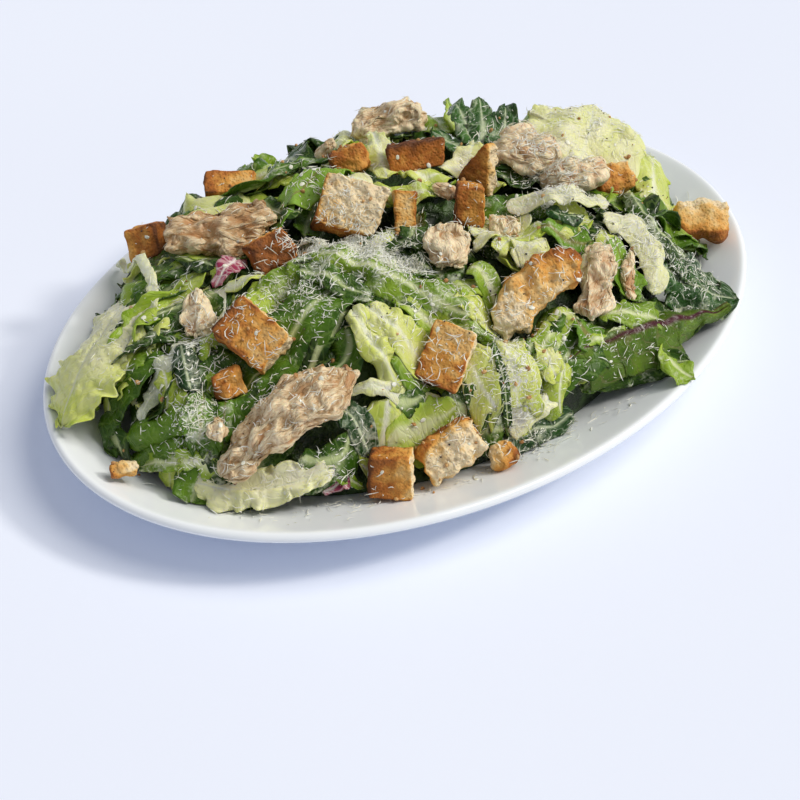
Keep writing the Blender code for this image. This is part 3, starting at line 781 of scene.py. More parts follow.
heart_finish = leaf_finish(
    "romaine_heart", [(0.18, 0.28, 0.014), (0.38, 0.50, 0.04), (0.62, 0.70, 0.15), (0.78, 0.80, 0.36),
                      (0.86, 0.84, 0.52)],
    (0.76, 0.78, 0.54), (0.80, 0.81, 0.56), vein=0.2, net=0.08, film_share=0.4,
    glow=0.6)
heart = [
    leaf([(-98, 52, 46), (-118, 41, 47), (-140, 29, 40), (-152, 22, 28)], 42, 0.84, 0.05, cup=-0.5,
         pucker=0.35, crumple=0.25, ruffle=2.2, wave=10, fade=0.4, form=(0.75, 0.6), rib=1.0),
    leaf([(-104, 36, 53), (-118, 25, 51), (-128, 20, 42), (-134, 17, 30)], 14, 0.50, 0.25, cup=-0.5,
         pucker=0.15, crumple=0.15, ruffle=0.5, form=(0.8, 0.8)),
    leaf([(-82, 94, 28), (-85, 78, 46), (-95, 45, 59), (-102, 29, 60), (-106, 27, 54)], 5, 0.97, 0.2,
         rib=4, pucker=0.1, crumple=0.05, ruffle=0.2, cup=-0.8, form=(0.9, 0.85)),
    leaf([(-127, -27, 32), (-130, -26, 25), (-132, -24, 17)], 4, 0.78, 0.1, rib=2.5, pucker=0.1,
         crumple=0.05, ruffle=0.2),
    leaf([(-116, 5, 52), (-120, -5, 50), (-123, -9, 43)], 14, 0.20, 0.15, cup=-1.0, pucker=0.15,
         crumple=0.1, ruffle=0.3, rib=0.8, form=(0.8, 0.7)),
    leaf([(-54, -33, 71), (-55, -47, 65), (-52, -59, 50)], 12, 0.52, 0.2, pucker=0.6, crumple=0.55,
         ruffle=0.8, cup=-0.5, form=(0.8, 0.8)),
    leaf([(-47, -34, 69), (-43, -48, 66), (-34, -58, 57)], 17, 0.56, 0.3, pucker=0.6, crumple=0.5,
         ruffle=0.8, cup=-0.5, form=(0.8, 0.8)),
    leaf([(-69, -51, 55), (-55, -60, 52), (-37, -68, 47)], 6, 0.66, 0.7, pucker=0.3, rib=1.4),
    leaf([(-59, -61, 47), (-67, -65, 41), (-75, -64, 34)], 18, 0.34, 0.2, cup=-1.1, pucker=0.12,
         crumple=0.1, ruffle=0.3, rib=1.4, form=(0.8, 0.7)),
    leaf([(-24, -61, 59), (-25, -72, 53), (-23, -81, 40)], 13, 0.52, 0.10, pucker=0.4, crumple=0.35,
         ruffle=0.5, rib=1.2),
    leaf([(-9, -67, 59), (-13, -78, 51), (-15, -85, 40), (-12, -87, 23)], 24, 0.50, 0.10, fold=(20, -30),
         crumple=0.8, pucker=0.4, ruffle=0.5, rib=1.0, form=(0.8, 0.75)),
    leaf([(4, -87, 32), (-9, -87, 33), (-20, -85, 32)], 9, 0.90, 0.3, pucker=0.3),
    leaf([(11, -82, 44), (4, -87, 38), (5, -88, 24)], 16, 0.28, 0.1, cup=-1.1, pucker=0.15, crumple=0.12,
         ruffle=0.4, rib=0.8, form=(0.8, 0.7)),
    leaf([(61, -48, 67), (70, -54, 65), (72, -65, 57), (64, -75, 46)], 12, 0.82, 0.2, curl=(50, -50),
         pucker=0.15, crumple=0.12, ruffle=0.5, rib=1.0, cup=-0.7, form=(0.8, 0.8)),
    leaf([(34, -19, 75), (46, -31, 78), (69, -41, 68)], 10, 0.93, 0.5, pucker=0.3, ruffle=0.6, rib=1.5,
         form=(0.5, 0.8)),
    leaf([(23, -38, 72), (23, -48, 71), (27, -55, 66)], 11, 0.75, 0.5),
    leaf([(8, -30, 72), (21, -30, 74), (38, -28, 74)], 10, 0.66, 0.5, pucker=0.4),
    leaf([(70, -14, 58), (90, -4, 67), (120, 22, 61)], 54, 0.80, 0.30, form=(0.9, 0.5), cup=-0.35,
         fold=(-8, -14), ruffle=2.2, wave=12, pucker=0.4, crumple=0.35, rib=1.4),
    leaf([(100, -36, 50), (118, -20, 52), (130, -2, 44)], 22, 0.45, 0.3, ruffle=1.0, pucker=0.25),
    leaf([(26, 57, 69), (15, 37, 74), (7, 23, 72)], 11, 0.62, 0.3, pucker=0.3),
    leaf([(15, 24, 74), (18, 13, 77), (29, 11, 76)], 11, 0.42, 0.3, ruffle=1.6, wave=7, pucker=0.6),
    leaf([(-18, 24, 76), (-7, 26, 78), (-3, 20, 72)], 8, 0.82, 0.3, pucker=0.2),
    leaf([(30, 18, 75), (38, 16, 76), (52, 22, 71)], 10, 0.75, 0.6, pucker=0.5),
    leaf([(-80, 13, 69), (-75, 7, 72), (-66, 8, 70)], 6, 0.50, 0.1, rib=2.5, pucker=0.1),
    leaf([(-28, -11, 76), (-24, -12, 76), (-18, -11, 75)], 5, 0.50, 0.1, rib=1.5),
    leaf([(-21, -62, 59), (-21, -72, 55), (-19, -81, 42)], 10, 0.58, 0.2, pucker=0.35, crumple=0.3,
         ruffle=0.5, rib=1.0),
    leaf([(6, -72, 55), (4, -79, 50), (4, -85, 38)], 11, 0.54, 0.15, pucker=0.35, crumple=0.3, ruffle=0.8,
         rib=1.0),
    leaf([(-86, -63, 31), (-101, -57, 29), (-118, -44, 25), (-128, -30, 24)], 17, 0.84, 0.10, ruffle=1.8,
         wave=8, pucker=0.55, crumple=0.5, form=(0.5, 0.7), fold=(10, -25), rib=1.0),
    leaf([(-108, -48, 32), (-117, -42, 28), (-125, -34, 22)], 12, 0.72, 0.2, ruffle=1.0, pucker=0.3,
         crumple=0.3),
]

# ---------------------------------------------------------------- leaves loose in the heap
# The rest of the tossed leaves fill the heap between and under the ones that are listed one by one.

DISH_HALF = (158, 112)
DEEPEST = -6
HIGHEST = 2
STREWN_SPACING = 1.8
DRAPED_SPACING = 1.7
REACH_BACK = 0.90
REACH_FRONT = 0.75
FRONT = -40


def chance_looks(rng, shoulder, roll, cup, fold, ruffle, pucker):
    """Looks of a leaf, drawn between limits."""
    return {"form": (rng.uniform(0.5, 0.9), rng.uniform(0.5, shoulder)), "roll": rng.uniform(-roll, roll),
            "cup": rng.uniform(*cup), "fold": (rng.uniform(-20, fold), rng.uniform(-20, fold)),
            "ruffle": rng.uniform(*ruffle), "pucker": rng.uniform(0.2, pucker),
            "crumple": rng.uniform(0.2, 0.5), "rib": rng.uniform(0.8, 2.2)}


def scattered(count, seed, reach, size, tones):
    """Leaves strewn over the heap by chance, kept inside reach as a share of the platter's oval."""
    rng = np.random.default_rng(seed)
    made = []
    while len(made) < count:
        angle = rng.uniform(0, 2 * pi)
        share = reach * np.sqrt(rng.uniform(0.02, 1))
        x = share * DISH_HALF[0] * cos(angle)
        y = share * DISH_HALF[1] * sin(angle)
        length = rng.uniform(*size)
        heading = rng.uniform(0, 2 * pi)
        ends = [np.array([x + side * length / 2 * cos(heading), y + side * length / 2 * sin(heading)])
                for side in (1, -1)]
        if max(np.hypot(*(end / DISH_HALF)) for end in ends) > (REACH_BACK if y > FRONT else REACH_FRONT):
            continue
        bend = rng.uniform(-4, 4) * np.array([sin(heading), -cos(heading)])
        stops = [ends[0], (ends[0] + ends[1]) / 2 + bend, ends[1]]
        path = [(*stop, float(sample(dome_grid, *stop)) + rng.uniform(DEEPEST, HIGHEST)) for stop in stops]
        tone = rng.uniform(*tones)
        made.append(leaf(path, length * rng.uniform(0.45, 0.75), tone, rng.uniform(0.1, 0.5),
                         spacing=STREWN_SPACING, **chance_looks(
                             rng, 0.85, 40, (-0.9, 0.4), 50, (0.4, 1.2), 0.6)))
    return made


def draped(count, seed, tones):
    """Leaves that hang down the sides and the back of the heap, from its shoulder to its foot."""
    rng = np.random.default_rng(seed)
    made = []
    for place in range(count):
        angle = radians(-45 + 220 * (place + rng.uniform(0.1, 0.9)) / count)
        drift = rng.uniform(-0.16, 0.16)
        path = []
        for step, share in enumerate((rng.uniform(0.50, 0.64), 0.80, rng.uniform(0.875, 0.90))):
            x = share * DISH_HALF[0] * cos(angle + drift * step)
            y = share * DISH_HALF[1] * sin(angle + drift * step)
            under = float(sample((dome_grid, dome_grid, plate_grid)[step], x, y))
            path.append((x, y, under + (rng.uniform(0, 2.5), rng.uniform(0, 2.5), 1.5)[step]))
        if rng.uniform() < 0.4:
            path.reverse()
        made.append(leaf(path, rng.uniform(18, 30), rng.uniform(*tones), rng.uniform(0.1, 0.4),
                         spacing=DRAPED_SPACING, **chance_looks(
                             rng, 0.8, 15, (-0.7, 0.1), 25, (0.5, 1.3), 0.5)))
    return made


outer += scattered(38, 3, 0.86, (24, 46), (0.05, 0.4)) + draped(25, 6, (0.08, 0.45))
inner += scattered(28, 4, 0.84, (22, 44), (0.2, 0.6)) + draped(15, 7, (0.2, 0.6))
heart += scattered(16, 5, 0.82, (18, 36), (0.2, 0.7)) + draped(6, 8, (0.3, 0.7))
add_leaves("outer_romaine_leaves", outer, outer_finish)
add_leaves("inner_romaine_leaves", inner, inner_finish)
add_leaves("romaine_heart_leaves", heart, heart_finish)

# ---------------------------------------------------------------- frilly leaf, kale, chard and radicchio
# A few other leaves are tossed in: bright frilly oak leaf, dusky lobed kale, a long red-ribbed
# chard leaf and shreds of purple and white radicchio.

frilly_finish = leaf_finish(
    "frilly_leaf", [(0.015, 0.042, 0.003), (0.05, 0.12, 0.005), (0.12, 0.25, 0.012), (0.26, 0.42, 0.05)],
    (0.22, 0.20, 0.06), (0.25, 0.40, 0.10), spacing=5)
frilly = [
    leaf([(-110, -15, 54), (-118, -24, 49), (-122, -27, 39)], 17, 0.48, 0.6, ruffle=2.2, wave=7,
         pucker=0.8, rib=0.6),
    leaf([(-105, -22, 54), (-111, -28, 51), (-115, -29, 45)], 8, 0.50, 0.4, ruffle=1.8, wave=6, rib=0.5),
    leaf([(-27, -29, 71), (-21, -33, 74), (-17, -39, 73)], 8, 0.30, 0, cup=-1.2, pucker=0.1, crumple=0.1,
         rib=0.5),
    leaf([(61, -54, 62), (58, -66, 59), (55, -74, 50)], 14, 0.75, 0.2, pucker=0.9, ruffle=1.2,
         crumple=0.4, rib=0.6),
    leaf([(22, -75, 54), (24, -79, 49), (30, -83, 42)], 14, 0.55, 0.3, ruffle=1.4, wave=7),
    leaf([(34, -39, 72), (42, -46, 72), (52, -51, 65)], 11, 0.65, 0.4, ruffle=1.8, wave=8, pucker=0.6),
    leaf([(0, 36, 76), (-16, 37, 79), (-37, 31, 78)], 17, 0.92, 0.0, ruffle=2.2, wave=8, pucker=0.9,
         rib=0.7),
    leaf([(-22, 45, 72), (-43, 30, 73), (-62, 31, 70)], 8, 0.70, 0.0, ruffle=1.2, wave=7, rib=0.7),
]
add_leaves("frilly_leaves", frilly, frilly_finish)

kale_finish = leaf_finish(
    "kale", [(0.008, 0.030, 0.006), (0.024, 0.078, 0.014), (0.07, 0.17, 0.03), (0.19, 0.32, 0.08)],
    (0.50, 0.56, 0.36), (0.56, 0.64, 0.48), spacing=7, vein=0.32, net=0.05, film_share=0.5)
kale = [
    leaf([(-75, -52, 52), (-73, -58, 48), (-70, -63, 39)], 13, 0.15, 0.6, rib=0.6, pucker=0.4,
         ruffle=0.8),
    leaf([(10, -89, 22), (-6, -88, 22), (-22, -85, 25)], 15, 0.14, 0.5, rib=1.0, pucker=0.4, ruffle=0.8,
         crumple=0.2),
    leaf([(70, -65, 55), (87, -73, 38), (103, -86, 29)], 29, 0.30, 0.36, ruffle=1.4, wave=11, pucker=0.6,
         rib=1.2, form=(0.6, 0.7)),
    leaf([(43, -33, 72), (46, -39, 72), (54, -43, 69)], 7, 0.30, 0.5, rib=0.5),
    leaf([(50, 17, 66), (57, 33, 73), (61, 48, 76)], 12, 0.50, 0.45, ruffle=1.4, wave=7, form=(0.6, 0.45),
         pucker=0.5),
    leaf([(50, 14, 66), (62, 28, 73), (70, 40, 76)], 14, 0.46, 0.45, ruffle=1.4, wave=7, form=(0.6, 0.45),
         pucker=0.5),
    leaf([(52, 8, 66), (67, 20, 72), (76, 30, 74)], 17, 0.40, 0.40, ruffle=1.6, wave=8, form=(0.6, 0.45),
         pucker=0.6),
    leaf([(48, 18, 66), (46, 30, 70), (43, 39, 71)], 13, 0.48, 0.45, ruffle=1.2, wave=7, form=(0.6, 0.45),
         pucker=0.5),
    leaf([(-107, 4, 60), (-112, -6, 58), (-115, -14, 52)], 12, 0.06, 0.25, cup=-0.9, pucker=0.3, rib=0.6),
]
add_leaves("kale_leaves", kale, kale_finish)

chard_finish = leaf_finish(
    "red_ribbed_chard", [(0.02, 0.045, 0.004), (0.06, 0.12, 0.008), (0.15, 0.25, 0.02), (0.32, 0.41, 0.10)],
    (0.060, 0.006, 0.016), (0.20, 0.14, 0.08), spacing=8, vein=0.3)
chard = [
    leaf([(94, -90, 33), (64, -86, 39), (38, -84, 44), (15, -82, 44)], 34, 0.38, 0.15, fold=(-16, -80),
         rib=2.4, pucker=0.25, crumple=0.2, ruffle=0.8, form=(0.2, 0.85), fade=-0.1),
]
add_leaves("chard_leaf", chard, chard_finish)

radicchio_finish = leaf_finish(
    "radicchio", [(0.13, 0.008, 0.03), (0.30, 0.03, 0.08), (0.62, 0.30, 0.34), (0.78, 0.70, 0.62)],
    (0.78, 0.72, 0.66), (0.75, 0.62, 0.60), vein=0.7, net=0.4)
radicchio = [
    leaf([(-82, 17, 70), (-76, 18, 75), (-61, 30, 69)], 8, 0.30, 0.15, ruffle=1.2, rib=0.8),
    leaf([(-91, -62, 21), (-85, -64, 23), (-81, -65, 25)], 6, 0.25, 0.2, ruffle=1.0, rib=0.8),
]
add_leaves("radicchio_shreds", radicchio, radicchio_finish)

coated_finish = leaf_finish(
    "dressing_coated_leaf", [(0.10, 0.14, 0.06), (0.30, 0.34, 0.20), (0.52, 0.54, 0.38), (0.70, 0.68, 0.52)],
    (0.60, 0.60, 0.44), (0.62, 0.62, 0.46), film_share=0.8)
coated = [
    leaf([(-83, 17, 69), (-94, 9, 66), (-104, 2, 60)], 19, 0.85, 0.9, ruffle=1.0, pucker=0.5),
    leaf([(-102, 3, 62), (-114, 1, 55), (-130, -1, 35)], 10, 0.45, 0.8, form=(0.9, 0.45), rib=2.0,
         pucker=0.3, crumple=0.3),
]
add_leaves("dressing_coated_leaves", coated, coated_finish)

# ---------------------------------------------------------------- torn heart pieces
# Small torn pieces of pale heart leaf that lie on top of the rest, between the bread and the
# chicken at the right.

heart_pieces = [
    leaf([(40, -43, 69), (50, -40, 69), (58, -44, 67)], 16, 0.46, 0.25, cup=-0.5, ruffle=1.3, wave=8,
         pucker=0.45, crumple=0.4, rib=1.0, form=(0.8, 0.7)),
    leaf([(17, -47, 69), (25, -45, 70), (33, -44, 69)], 14, 0.62, 0.40, cup=-0.4, ruffle=1.0, wave=8,
         pucker=0.4, crumple=0.4, rib=1.2, form=(0.8, 0.7)),
    leaf([(12, -40, 70), (27, -37, 71), (37, -41, 71)], 12, 0.36, 0.30, cup=-0.5, ruffle=1.2, wave=7,
         pucker=0.5, crumple=0.4, rib=1.0),
    leaf([(58, -48, 64), (57, -57, 61), (50, -65, 57)], 15, 0.34, 0.10, cup=-0.4, ruffle=1.2, wave=8,
         pucker=0.5, crumple=0.4, rib=1.0),
    leaf([(11, -24, 73), (22, -25, 74), (33, -25, 73)], 12, 0.50, 0.45, cup=-0.5, ruffle=1.2, wave=7,
         pucker=0.45, crumple=0.4, rib=1.0),
    leaf([(-16, -47, 67), (-10, -54, 63), (-8, -62, 58)], 12, 0.42, 0.2, cup=-0.5, ruffle=1.1, wave=8,
         pucker=0.45, crumple=0.4, rib=1.0),
]
add_leaves("torn_heart_pieces", heart_pieces, heart_finish)

# ---------------------------------------------------------------- croutons
# Torn and cut pieces of white bread, toasted in oil: a browned crust, golden sides that darken at
# the corners, and pale open crumb where the bread was torn. The pores are pressed into the mesh
# and painted darker as their shade. One side of each is painted browner and another paler, partly
# the bread's own crust and crumb and partly painted shade and painted light.

SEEN_RIGHT = np.array([0.78, -0.62, 0.0])
SEEN_UP = np.array([0.417, 0.523, 0.743])
SEEN_NEAR = np.array([-0.464, -0.581, 0.669])


def seen(right, up, near):
    """A direction given as it lies to someone who stands at the front left of the dish."""
    return unit(right * SEEN_RIGHT + up * SEEN_UP + near * SEEN_NEAR)


def remeshed(name, cell):
    """Points in millimetres, faces and normals of a CAD node, rounded and cut to even small quads."""
    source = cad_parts[name].data
    places = {}
    order = []
    for vertex in source.vertices:
        order.append(places.setdefault(tuple(round(value, 5) for value in vertex.co), len(places)))
    rough = bpy.data.meshes.new("rough")
    polygons = [[order[index] for index in face.vertices] for face in source.polygons]
    rough.from_pydata(list(places), [], polygons)
    holder = bpy.data.objects.new("holder", rough)
    bpy.context.scene.collection.objects.link(holder)
    voxels = holder.modifiers.new("voxels", "REMESH")
    voxels.mode = "VOXEL"
    voxels.voxel_size = cell * MM
    smooth = holder.modifiers.new("smooth", "SMOOTH")
    smooth.factor = 0.5
    smooth.iterations = 2
    bpy.context.view_layer.update()
    even = holder.evaluated_get(bpy.context.evaluated_depsgraph_get()).to_mesh()
    points = np.empty(len(even.vertices) * 3, np.float32)
    even.vertices.foreach_get("co", points)
    normals = np.empty(len(even.vertices) * 3, np.float32)
    even.vertex_normals.foreach_get("vector", normals)
    faces = np.array([face.vertices[:] for face in even.polygons])
    holder.to_mesh_clear()
    bpy.data.objects.remove(holder)
    bpy.data.meshes.remove(rough)
    return points.reshape(-1, 3) / MM, faces, normals.reshape(-1, 3)


def edge_pairs(faces):
    return np.concatenate([faces[:, [i, (i + 1) % 4]] for i in range(4)])


def spread_values(values, pairs, rounds):
    """Values averaged over neighbouring points a number of times."""
    values = np.asarray(values, float)
    count = np.bincount(pairs[:, 0], minlength=len(values)) + np.bincount(pairs[:, 1], minlength=len(values))
    for _ in range(rounds):
        total = np.zeros_like(values)
        np.add.at(total, pairs[:, 0], values[pairs[:, 1]])
        np.add.at(total, pairs[:, 1], values[pairs[:, 0]])
        shape = (-1,) + (1,) * (values.ndim - 1)
        values = 0.4 * values + 0.6 * total / count.reshape(shape)
    return values


def bulge(points, normals, pairs):
    """How far each point stands out from its surroundings: above 0 on edges and corners."""
    return np.einsum("ij,ij->i", points - spread_values(points, pairs, 14), normals)


def nearness(points):
    """A tree that finds the points near a place."""
    tree = KDTree(len(points))
    for index, point in enumerate(points):
        tree.insert(point, index)
    tree.balance()
    return tree


def pores(points, normals, rng, count, size):
    """Depth of round holes at chance places on a surface, in millimetres."""
    depth = np.zeros(len(points))
    tree = nearness(points)
    for centre in rng.integers(0, len(points), count):
        radius = rng.uniform(*size)
        for _, index, gap in tree.find_range(points[centre], radius):
            if normals[index] @ normals[centre] > 0.3:
                depth[index] = max(depth[index], (0.55 + 0.35 * radius) * (1 - (gap / radius) ** 2))
    return depth


def set_square(points, faces):
    """Middle, half sizes and axes of the box that a block of bread nearly fills."""
    corners = points[faces[:, :3]]
    sides = np.cross(corners[:, 1] - corners[:, 0], corners[:, 2] - corners[:, 0])
    area = np.linalg.norm(sides, axis=1)
    sides = sides[area > 1e-6] / area[area > 1e-6, None]
    area = area[area > 1e-6]
    first = sides[np.argmax([(area * np.abs(sides @ way) ** 12).sum() for way in sides[::9]]) * 9]
    level = sides[np.abs(sides @ first) < 0.25]
    weight = area[np.abs(sides @ first) < 0.25]
    second = level[np.argmax([(weight * np.abs(level @ way) ** 12).sum() for way in level[::5]]) * 5]
    second = unit(second - first * (first @ second))
    axes = np.stack([first, second, np.cross(first, second)])
    spread = points @ axes.T
    return (spread.max(0) + spread.min(0)) / 2 @ axes, np.ptp(spread, axis=0) / 2, axes


def block(half, cell):
    """Points from -1 to 1 and quads of a box whose surface is cut into even cells."""
    counts = np.maximum(np.round(2 * half / cell).astype(int), 4)
    quads = []
    for axis in range(3):
        a = (axis + 1) % 3
        b = (axis + 2) % 3
        rows, columns = np.meshgrid(np.arange(counts[a] + 1), np.arange(counts[b] + 1), indexing="ij")
        for side in (0, counts[axis]):
            spots = np.zeros(rows.shape + (3,), int)
            spots[..., a] = rows
            spots[..., b] = columns
            spots[..., axis] = side
            quad = np.stack([spots[:-1, :-1], spots[1:, :-1], spots[1:, 1:], spots[:-1, 1:]], 2)
            quad = quad.reshape(-1, 4, 3)
            quads.append(quad if side else quad[:, ::-1])
    quads = np.concatenate(quads)
    spots, index = np.unique(quads.reshape(-1, 3), axis=0, return_inverse=True)
    return 2 * spots / counts - 1, index.reshape(-1, 4)


BREAD_SEED = 300
TORN_CELL = 0.72
CUT_CELL = 0.6
EDGE_BROWN = 0.34
EDGE_WIDTH = 1.3
# Browner on one side and towards it, paler on another: partly the bread's own crust and crumb, partly
# painted shade and painted light.
SIDE_BROWN_AND_SHADE = 0.20
END_BROWN_AND_SHADE = 0.42
CRUMB_AND_LIGHT_PALE = 0.42


def crouton(name, toast, brown_and_shade_side, pale=(0, 0, 0), open_crumb=0.3, lumpy=0.0):
    """One crouton. toast: how brown it is all over. The next two give the sides that are browner and paler:
    partly the bread's own crust and crumb, partly painted shade and painted light.

    open_crumb: how far pores show on every side. lumpy: depth of its lumps in millimetres, for a
    piece that was torn round instead of cut square.
    """
    rng = np.random.default_rng(BREAD_SEED + len(name) + int(100 * toast))
    points, faces, normals = remeshed(name, TORN_CELL)
    size = np.ptp(points, axis=0).max()
    if lumpy:
        gap = 4 - 4 * np.clip(bulge(points, normals, edge_pairs(faces)) / 0.8, 0, 1)
        torn = 0.5 * waves(points, 15, rng) + 0.42 * waves(points, 7, rng, 9)
        torn = torn + 0.16 * waves(points, 3.2, rng, 9)
        points = points + normals * (lumpy * (torn - 0.3))[:, None]
    else:
        middle, half, axes = set_square(points, faces)
        spots, faces = block(half, CUT_CELL)
        second = np.sort(np.abs(spots) * half - half, axis=1)[:, 1]
        gap = -second
        power = np.abs(spots) ** 13 * np.sign(spots)
        normals = unit(power / half) @ axes
        shape = spots / ((np.abs(spots) ** 16).sum(1) ** (1 / 16))[:, None]
        for corner in np.array(np.meshgrid([-1, 1], [-1, 1], [-1, 1])).T.reshape(-1, 3):
            share = np.prod((1 + shape * corner) / 2, axis=1)
            shape = shape + share[:, None] * rng.uniform(-0.16, 0.12, 3) * corner
        points = middle + (shape * half) @ axes
    # The paler side shows open crumb and is painted paler, partly as light that falls on it.
    crumb_and_lit_side = np.clip(normals @ seen(*pale), 0, 1) ** 1.5 if any(pale) else np.zeros(len(points))
    rough = 0.40 * waves(points, 6.5, rng) + 0.10 * waves(points, 2.6, rng)
    rough = rough + (0.05 + 0.45 * crumb_and_lit_side) * waves(points, 2.4, rng, 9) + 0.5 * crumb_and_lit_side * waves(points, 5, rng)
    holes = pores(points, normals, rng, int(1.3 * size), (0.8, 1.3))
    holes = np.maximum(holes, pores(points, normals, rng, int(0.22 * size), (1.4, 2.2)))
    holes = holes * (open_crumb + (1 - open_crumb) * crumb_and_lit_side)
    points = points + normals * (0.7 * rough - holes * 0.9)[:, None]
    edges = EDGE_BROWN * np.exp(-gap / EDGE_WIDTH) * (0.8 + 0.4 * waves(points, 6, rng))
    brown = toast + edges * (1 - 0.35 * crumb_and_lit_side)
    brown = brown + 0.07 * waves(points, 7, rng) + 0.05 * waves(points, 3.2, rng)
    # Painted shade, partly real toast: one side browner and the piece darker towards it.
    brown = brown + SIDE_BROWN_AND_SHADE * np.clip(normals @ seen(*brown_and_shade_side), 0, 1) ** 2
    brown = brown + END_BROWN_AND_SHADE * (points - points.mean(0)) @ seen(*brown_and_shade_side) / size
    brown = brown - CRUMB_AND_LIGHT_PALE * crumb_and_lit_side - 0.06 * holes
    # The pore depth is also kept to paint shade into the pores.
    return points, faces, {"toast": np.clip(brown, 0, 1), "hole": np.clip(holes, 0, 1)}


def join_parts(name, parts, made):
    """One piece from parts of points in millimetres, faces and values at the points."""
    points, faces = joined([part[:2] for part in parts])
    piece = add_piece(name, points * MM, faces, made)
    for label in parts[0][2]:
        add_values(piece, label, np.concatenate([part[2][label] for part in parts]))
    landing_shapes.append((points, faces))
    return piece


# Each: toast, the browner side (partly painted shade), the paler crumb side (partly painted light), how far
# pores show, how lumpy.
CROUTONS = {
    "crouton_crumb_left": (0.42, (-1, 0, 0), (0.5, 1, 0.5), 0.3, 0.7),
    "crouton_rim_left": (0.54, (1, 0, 0.5)),
    "crouton_flat_back": (0.44, (-1, 0, 0.2)),
    "crouton_large": (0.44, (-1, 0.5, 0), (1, 0.1, -0.1), 0.25),
    "crouton_under": (0.50, (-1, 0, 0), (0, 0, 0), 0.4, 0.9),
    "crouton_inner_left": (0.60, (0, 0, 1), (0, 1, 0), 0.3, 0.9),
    "crouton_pale": (0.34, (-1, -0.5, -0.3), (0.5, 0.4, 0.9), 0.25),
    "crouton_stick": (0.22, (1, 0, 0)),
    "crouton_brown_back": (0.60, (-1, 1, 0), (0, 1, 0), 0.3, 0.9),
    "crouton_dark_slab": (0.66, (0, 1, 0)),
    "crouton_wedge": (0.44, (-1, 0, 0.3), (1, 0, 0.2), 0.3, 0.35),
    "crouton_upright": (0.48, (-1, 0, 0.5)),
    "crouton_round_right": (0.56, (-1, 0, 0), (0, 1, 0), 0.3, 1.0),
    "crouton_rim_right": (0.42, (0, -1, 0.4), (0.3, 1, 0.3), 0.35, 1.1),
    "crouton_torn_large": (0.42, (0.5, 1, 0), (-0.4, -0.7, 0.7), 0.35, 1.7),
    "crouton_centre": (0.38, (-0.6, -0.8, 0), (1, 0.2, 0), 0.2),
    "crouton_front_left": (0.52, (-0.8, 0, 0.2), (1, 0, 0.5), 0.25),
    "crouton_front_torn": (0.38, (-0.7, 0.8, 0), (0.5, -0.2, 0.8), 0.4, 1.5),
    "crouton_front_small": (0.36, (1, 0, 0), (-1, 0.5, 0), 0.3, 0.9),
}

TOAST_COLOURS = ((0.0, (0.86, 0.71, 0.46)), (0.20, (0.80, 0.53, 0.21)), (0.42, (0.70, 0.34, 0.072)),
                 (0.66, (0.43, 0.14, 0.024)), (1.0, (0.11, 0.036, 0.013)))
toasted, tree, shader = finish("toasted_bread")
crumb_grain = grain(tree, 0.0011, 3.0, 0.6)
specks = grain(tree, 0.0032, 3.0, 0.65)
# Small pits of the shader relief, painted darker as their shade.
pocks = cells(tree, node(tree, "TexCoord").outputs["Object"], 900, "SMOOTH_F1")
pocks = span(tree, pocks, 0.18, 0.5, 1.0, 0.0)
level = nudged(tree, nudged(tree, value_at(tree, "toast"), crumb_grain, 0.20), specks, 0.34)
shaded = mix_colours(tree, maths(tree, "MULTIPLY", pocks, 0.16), ramped(tree, level, TOAST_COLOURS),
                     (0.25, 0.12, 0.04))
# Painted shade inside the pores that are pressed into the mesh.
shaded = mix_colours(tree, maths(tree, "MULTIPLY", value_at(tree, "hole"), 0.45), shaded,
                     (0.20, 0.09, 0.03))
tree.links.new(shaded, shader.inputs["Base Color"])
tree.links.new(span(tree, specks, 0.3, 0.7, 0.55, 0.85), shader.inputs["Roughness"])
relief = maths(tree, "SUBTRACT", crumb_grain, maths(tree, "MULTIPLY", pocks, 0.8))
bump(tree, shader, relief, 0.0005, 0.7)
shader.inputs["Specular IOR Level"].default_value = 0.25
let_light_in(shader, 0.1, (1.0, 0.6, 0.3), 0.001)

bread = join_parts("croutons", [crouton(name, *looks) for name, looks in CROUTONS.items()], toasted)
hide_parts(*CROUTONS)

# ---------------------------------------------------------------- pulled chicken
# Roast chicken pulled apart by hand: tapering bundles of fibres with lengthwise grooves, frayed
# strands along them and at their ends, tan with paler stringy streaks and some browned skin side.
# The grooves are painted darker as their shade, and the two pieces at the right are painted paler
# as light on them.

MEAT_SEED = 500
MEAT_CELL = 0.6
FIBRE_SIDES = 6
FIBRE_STEPS = 11
LUMP_DEPTH = 1.15
TEAR_DEPTH = 0.6
STRAND_DEPTH = 0.6
CREASE_SHADE_WIDTH = 0.22


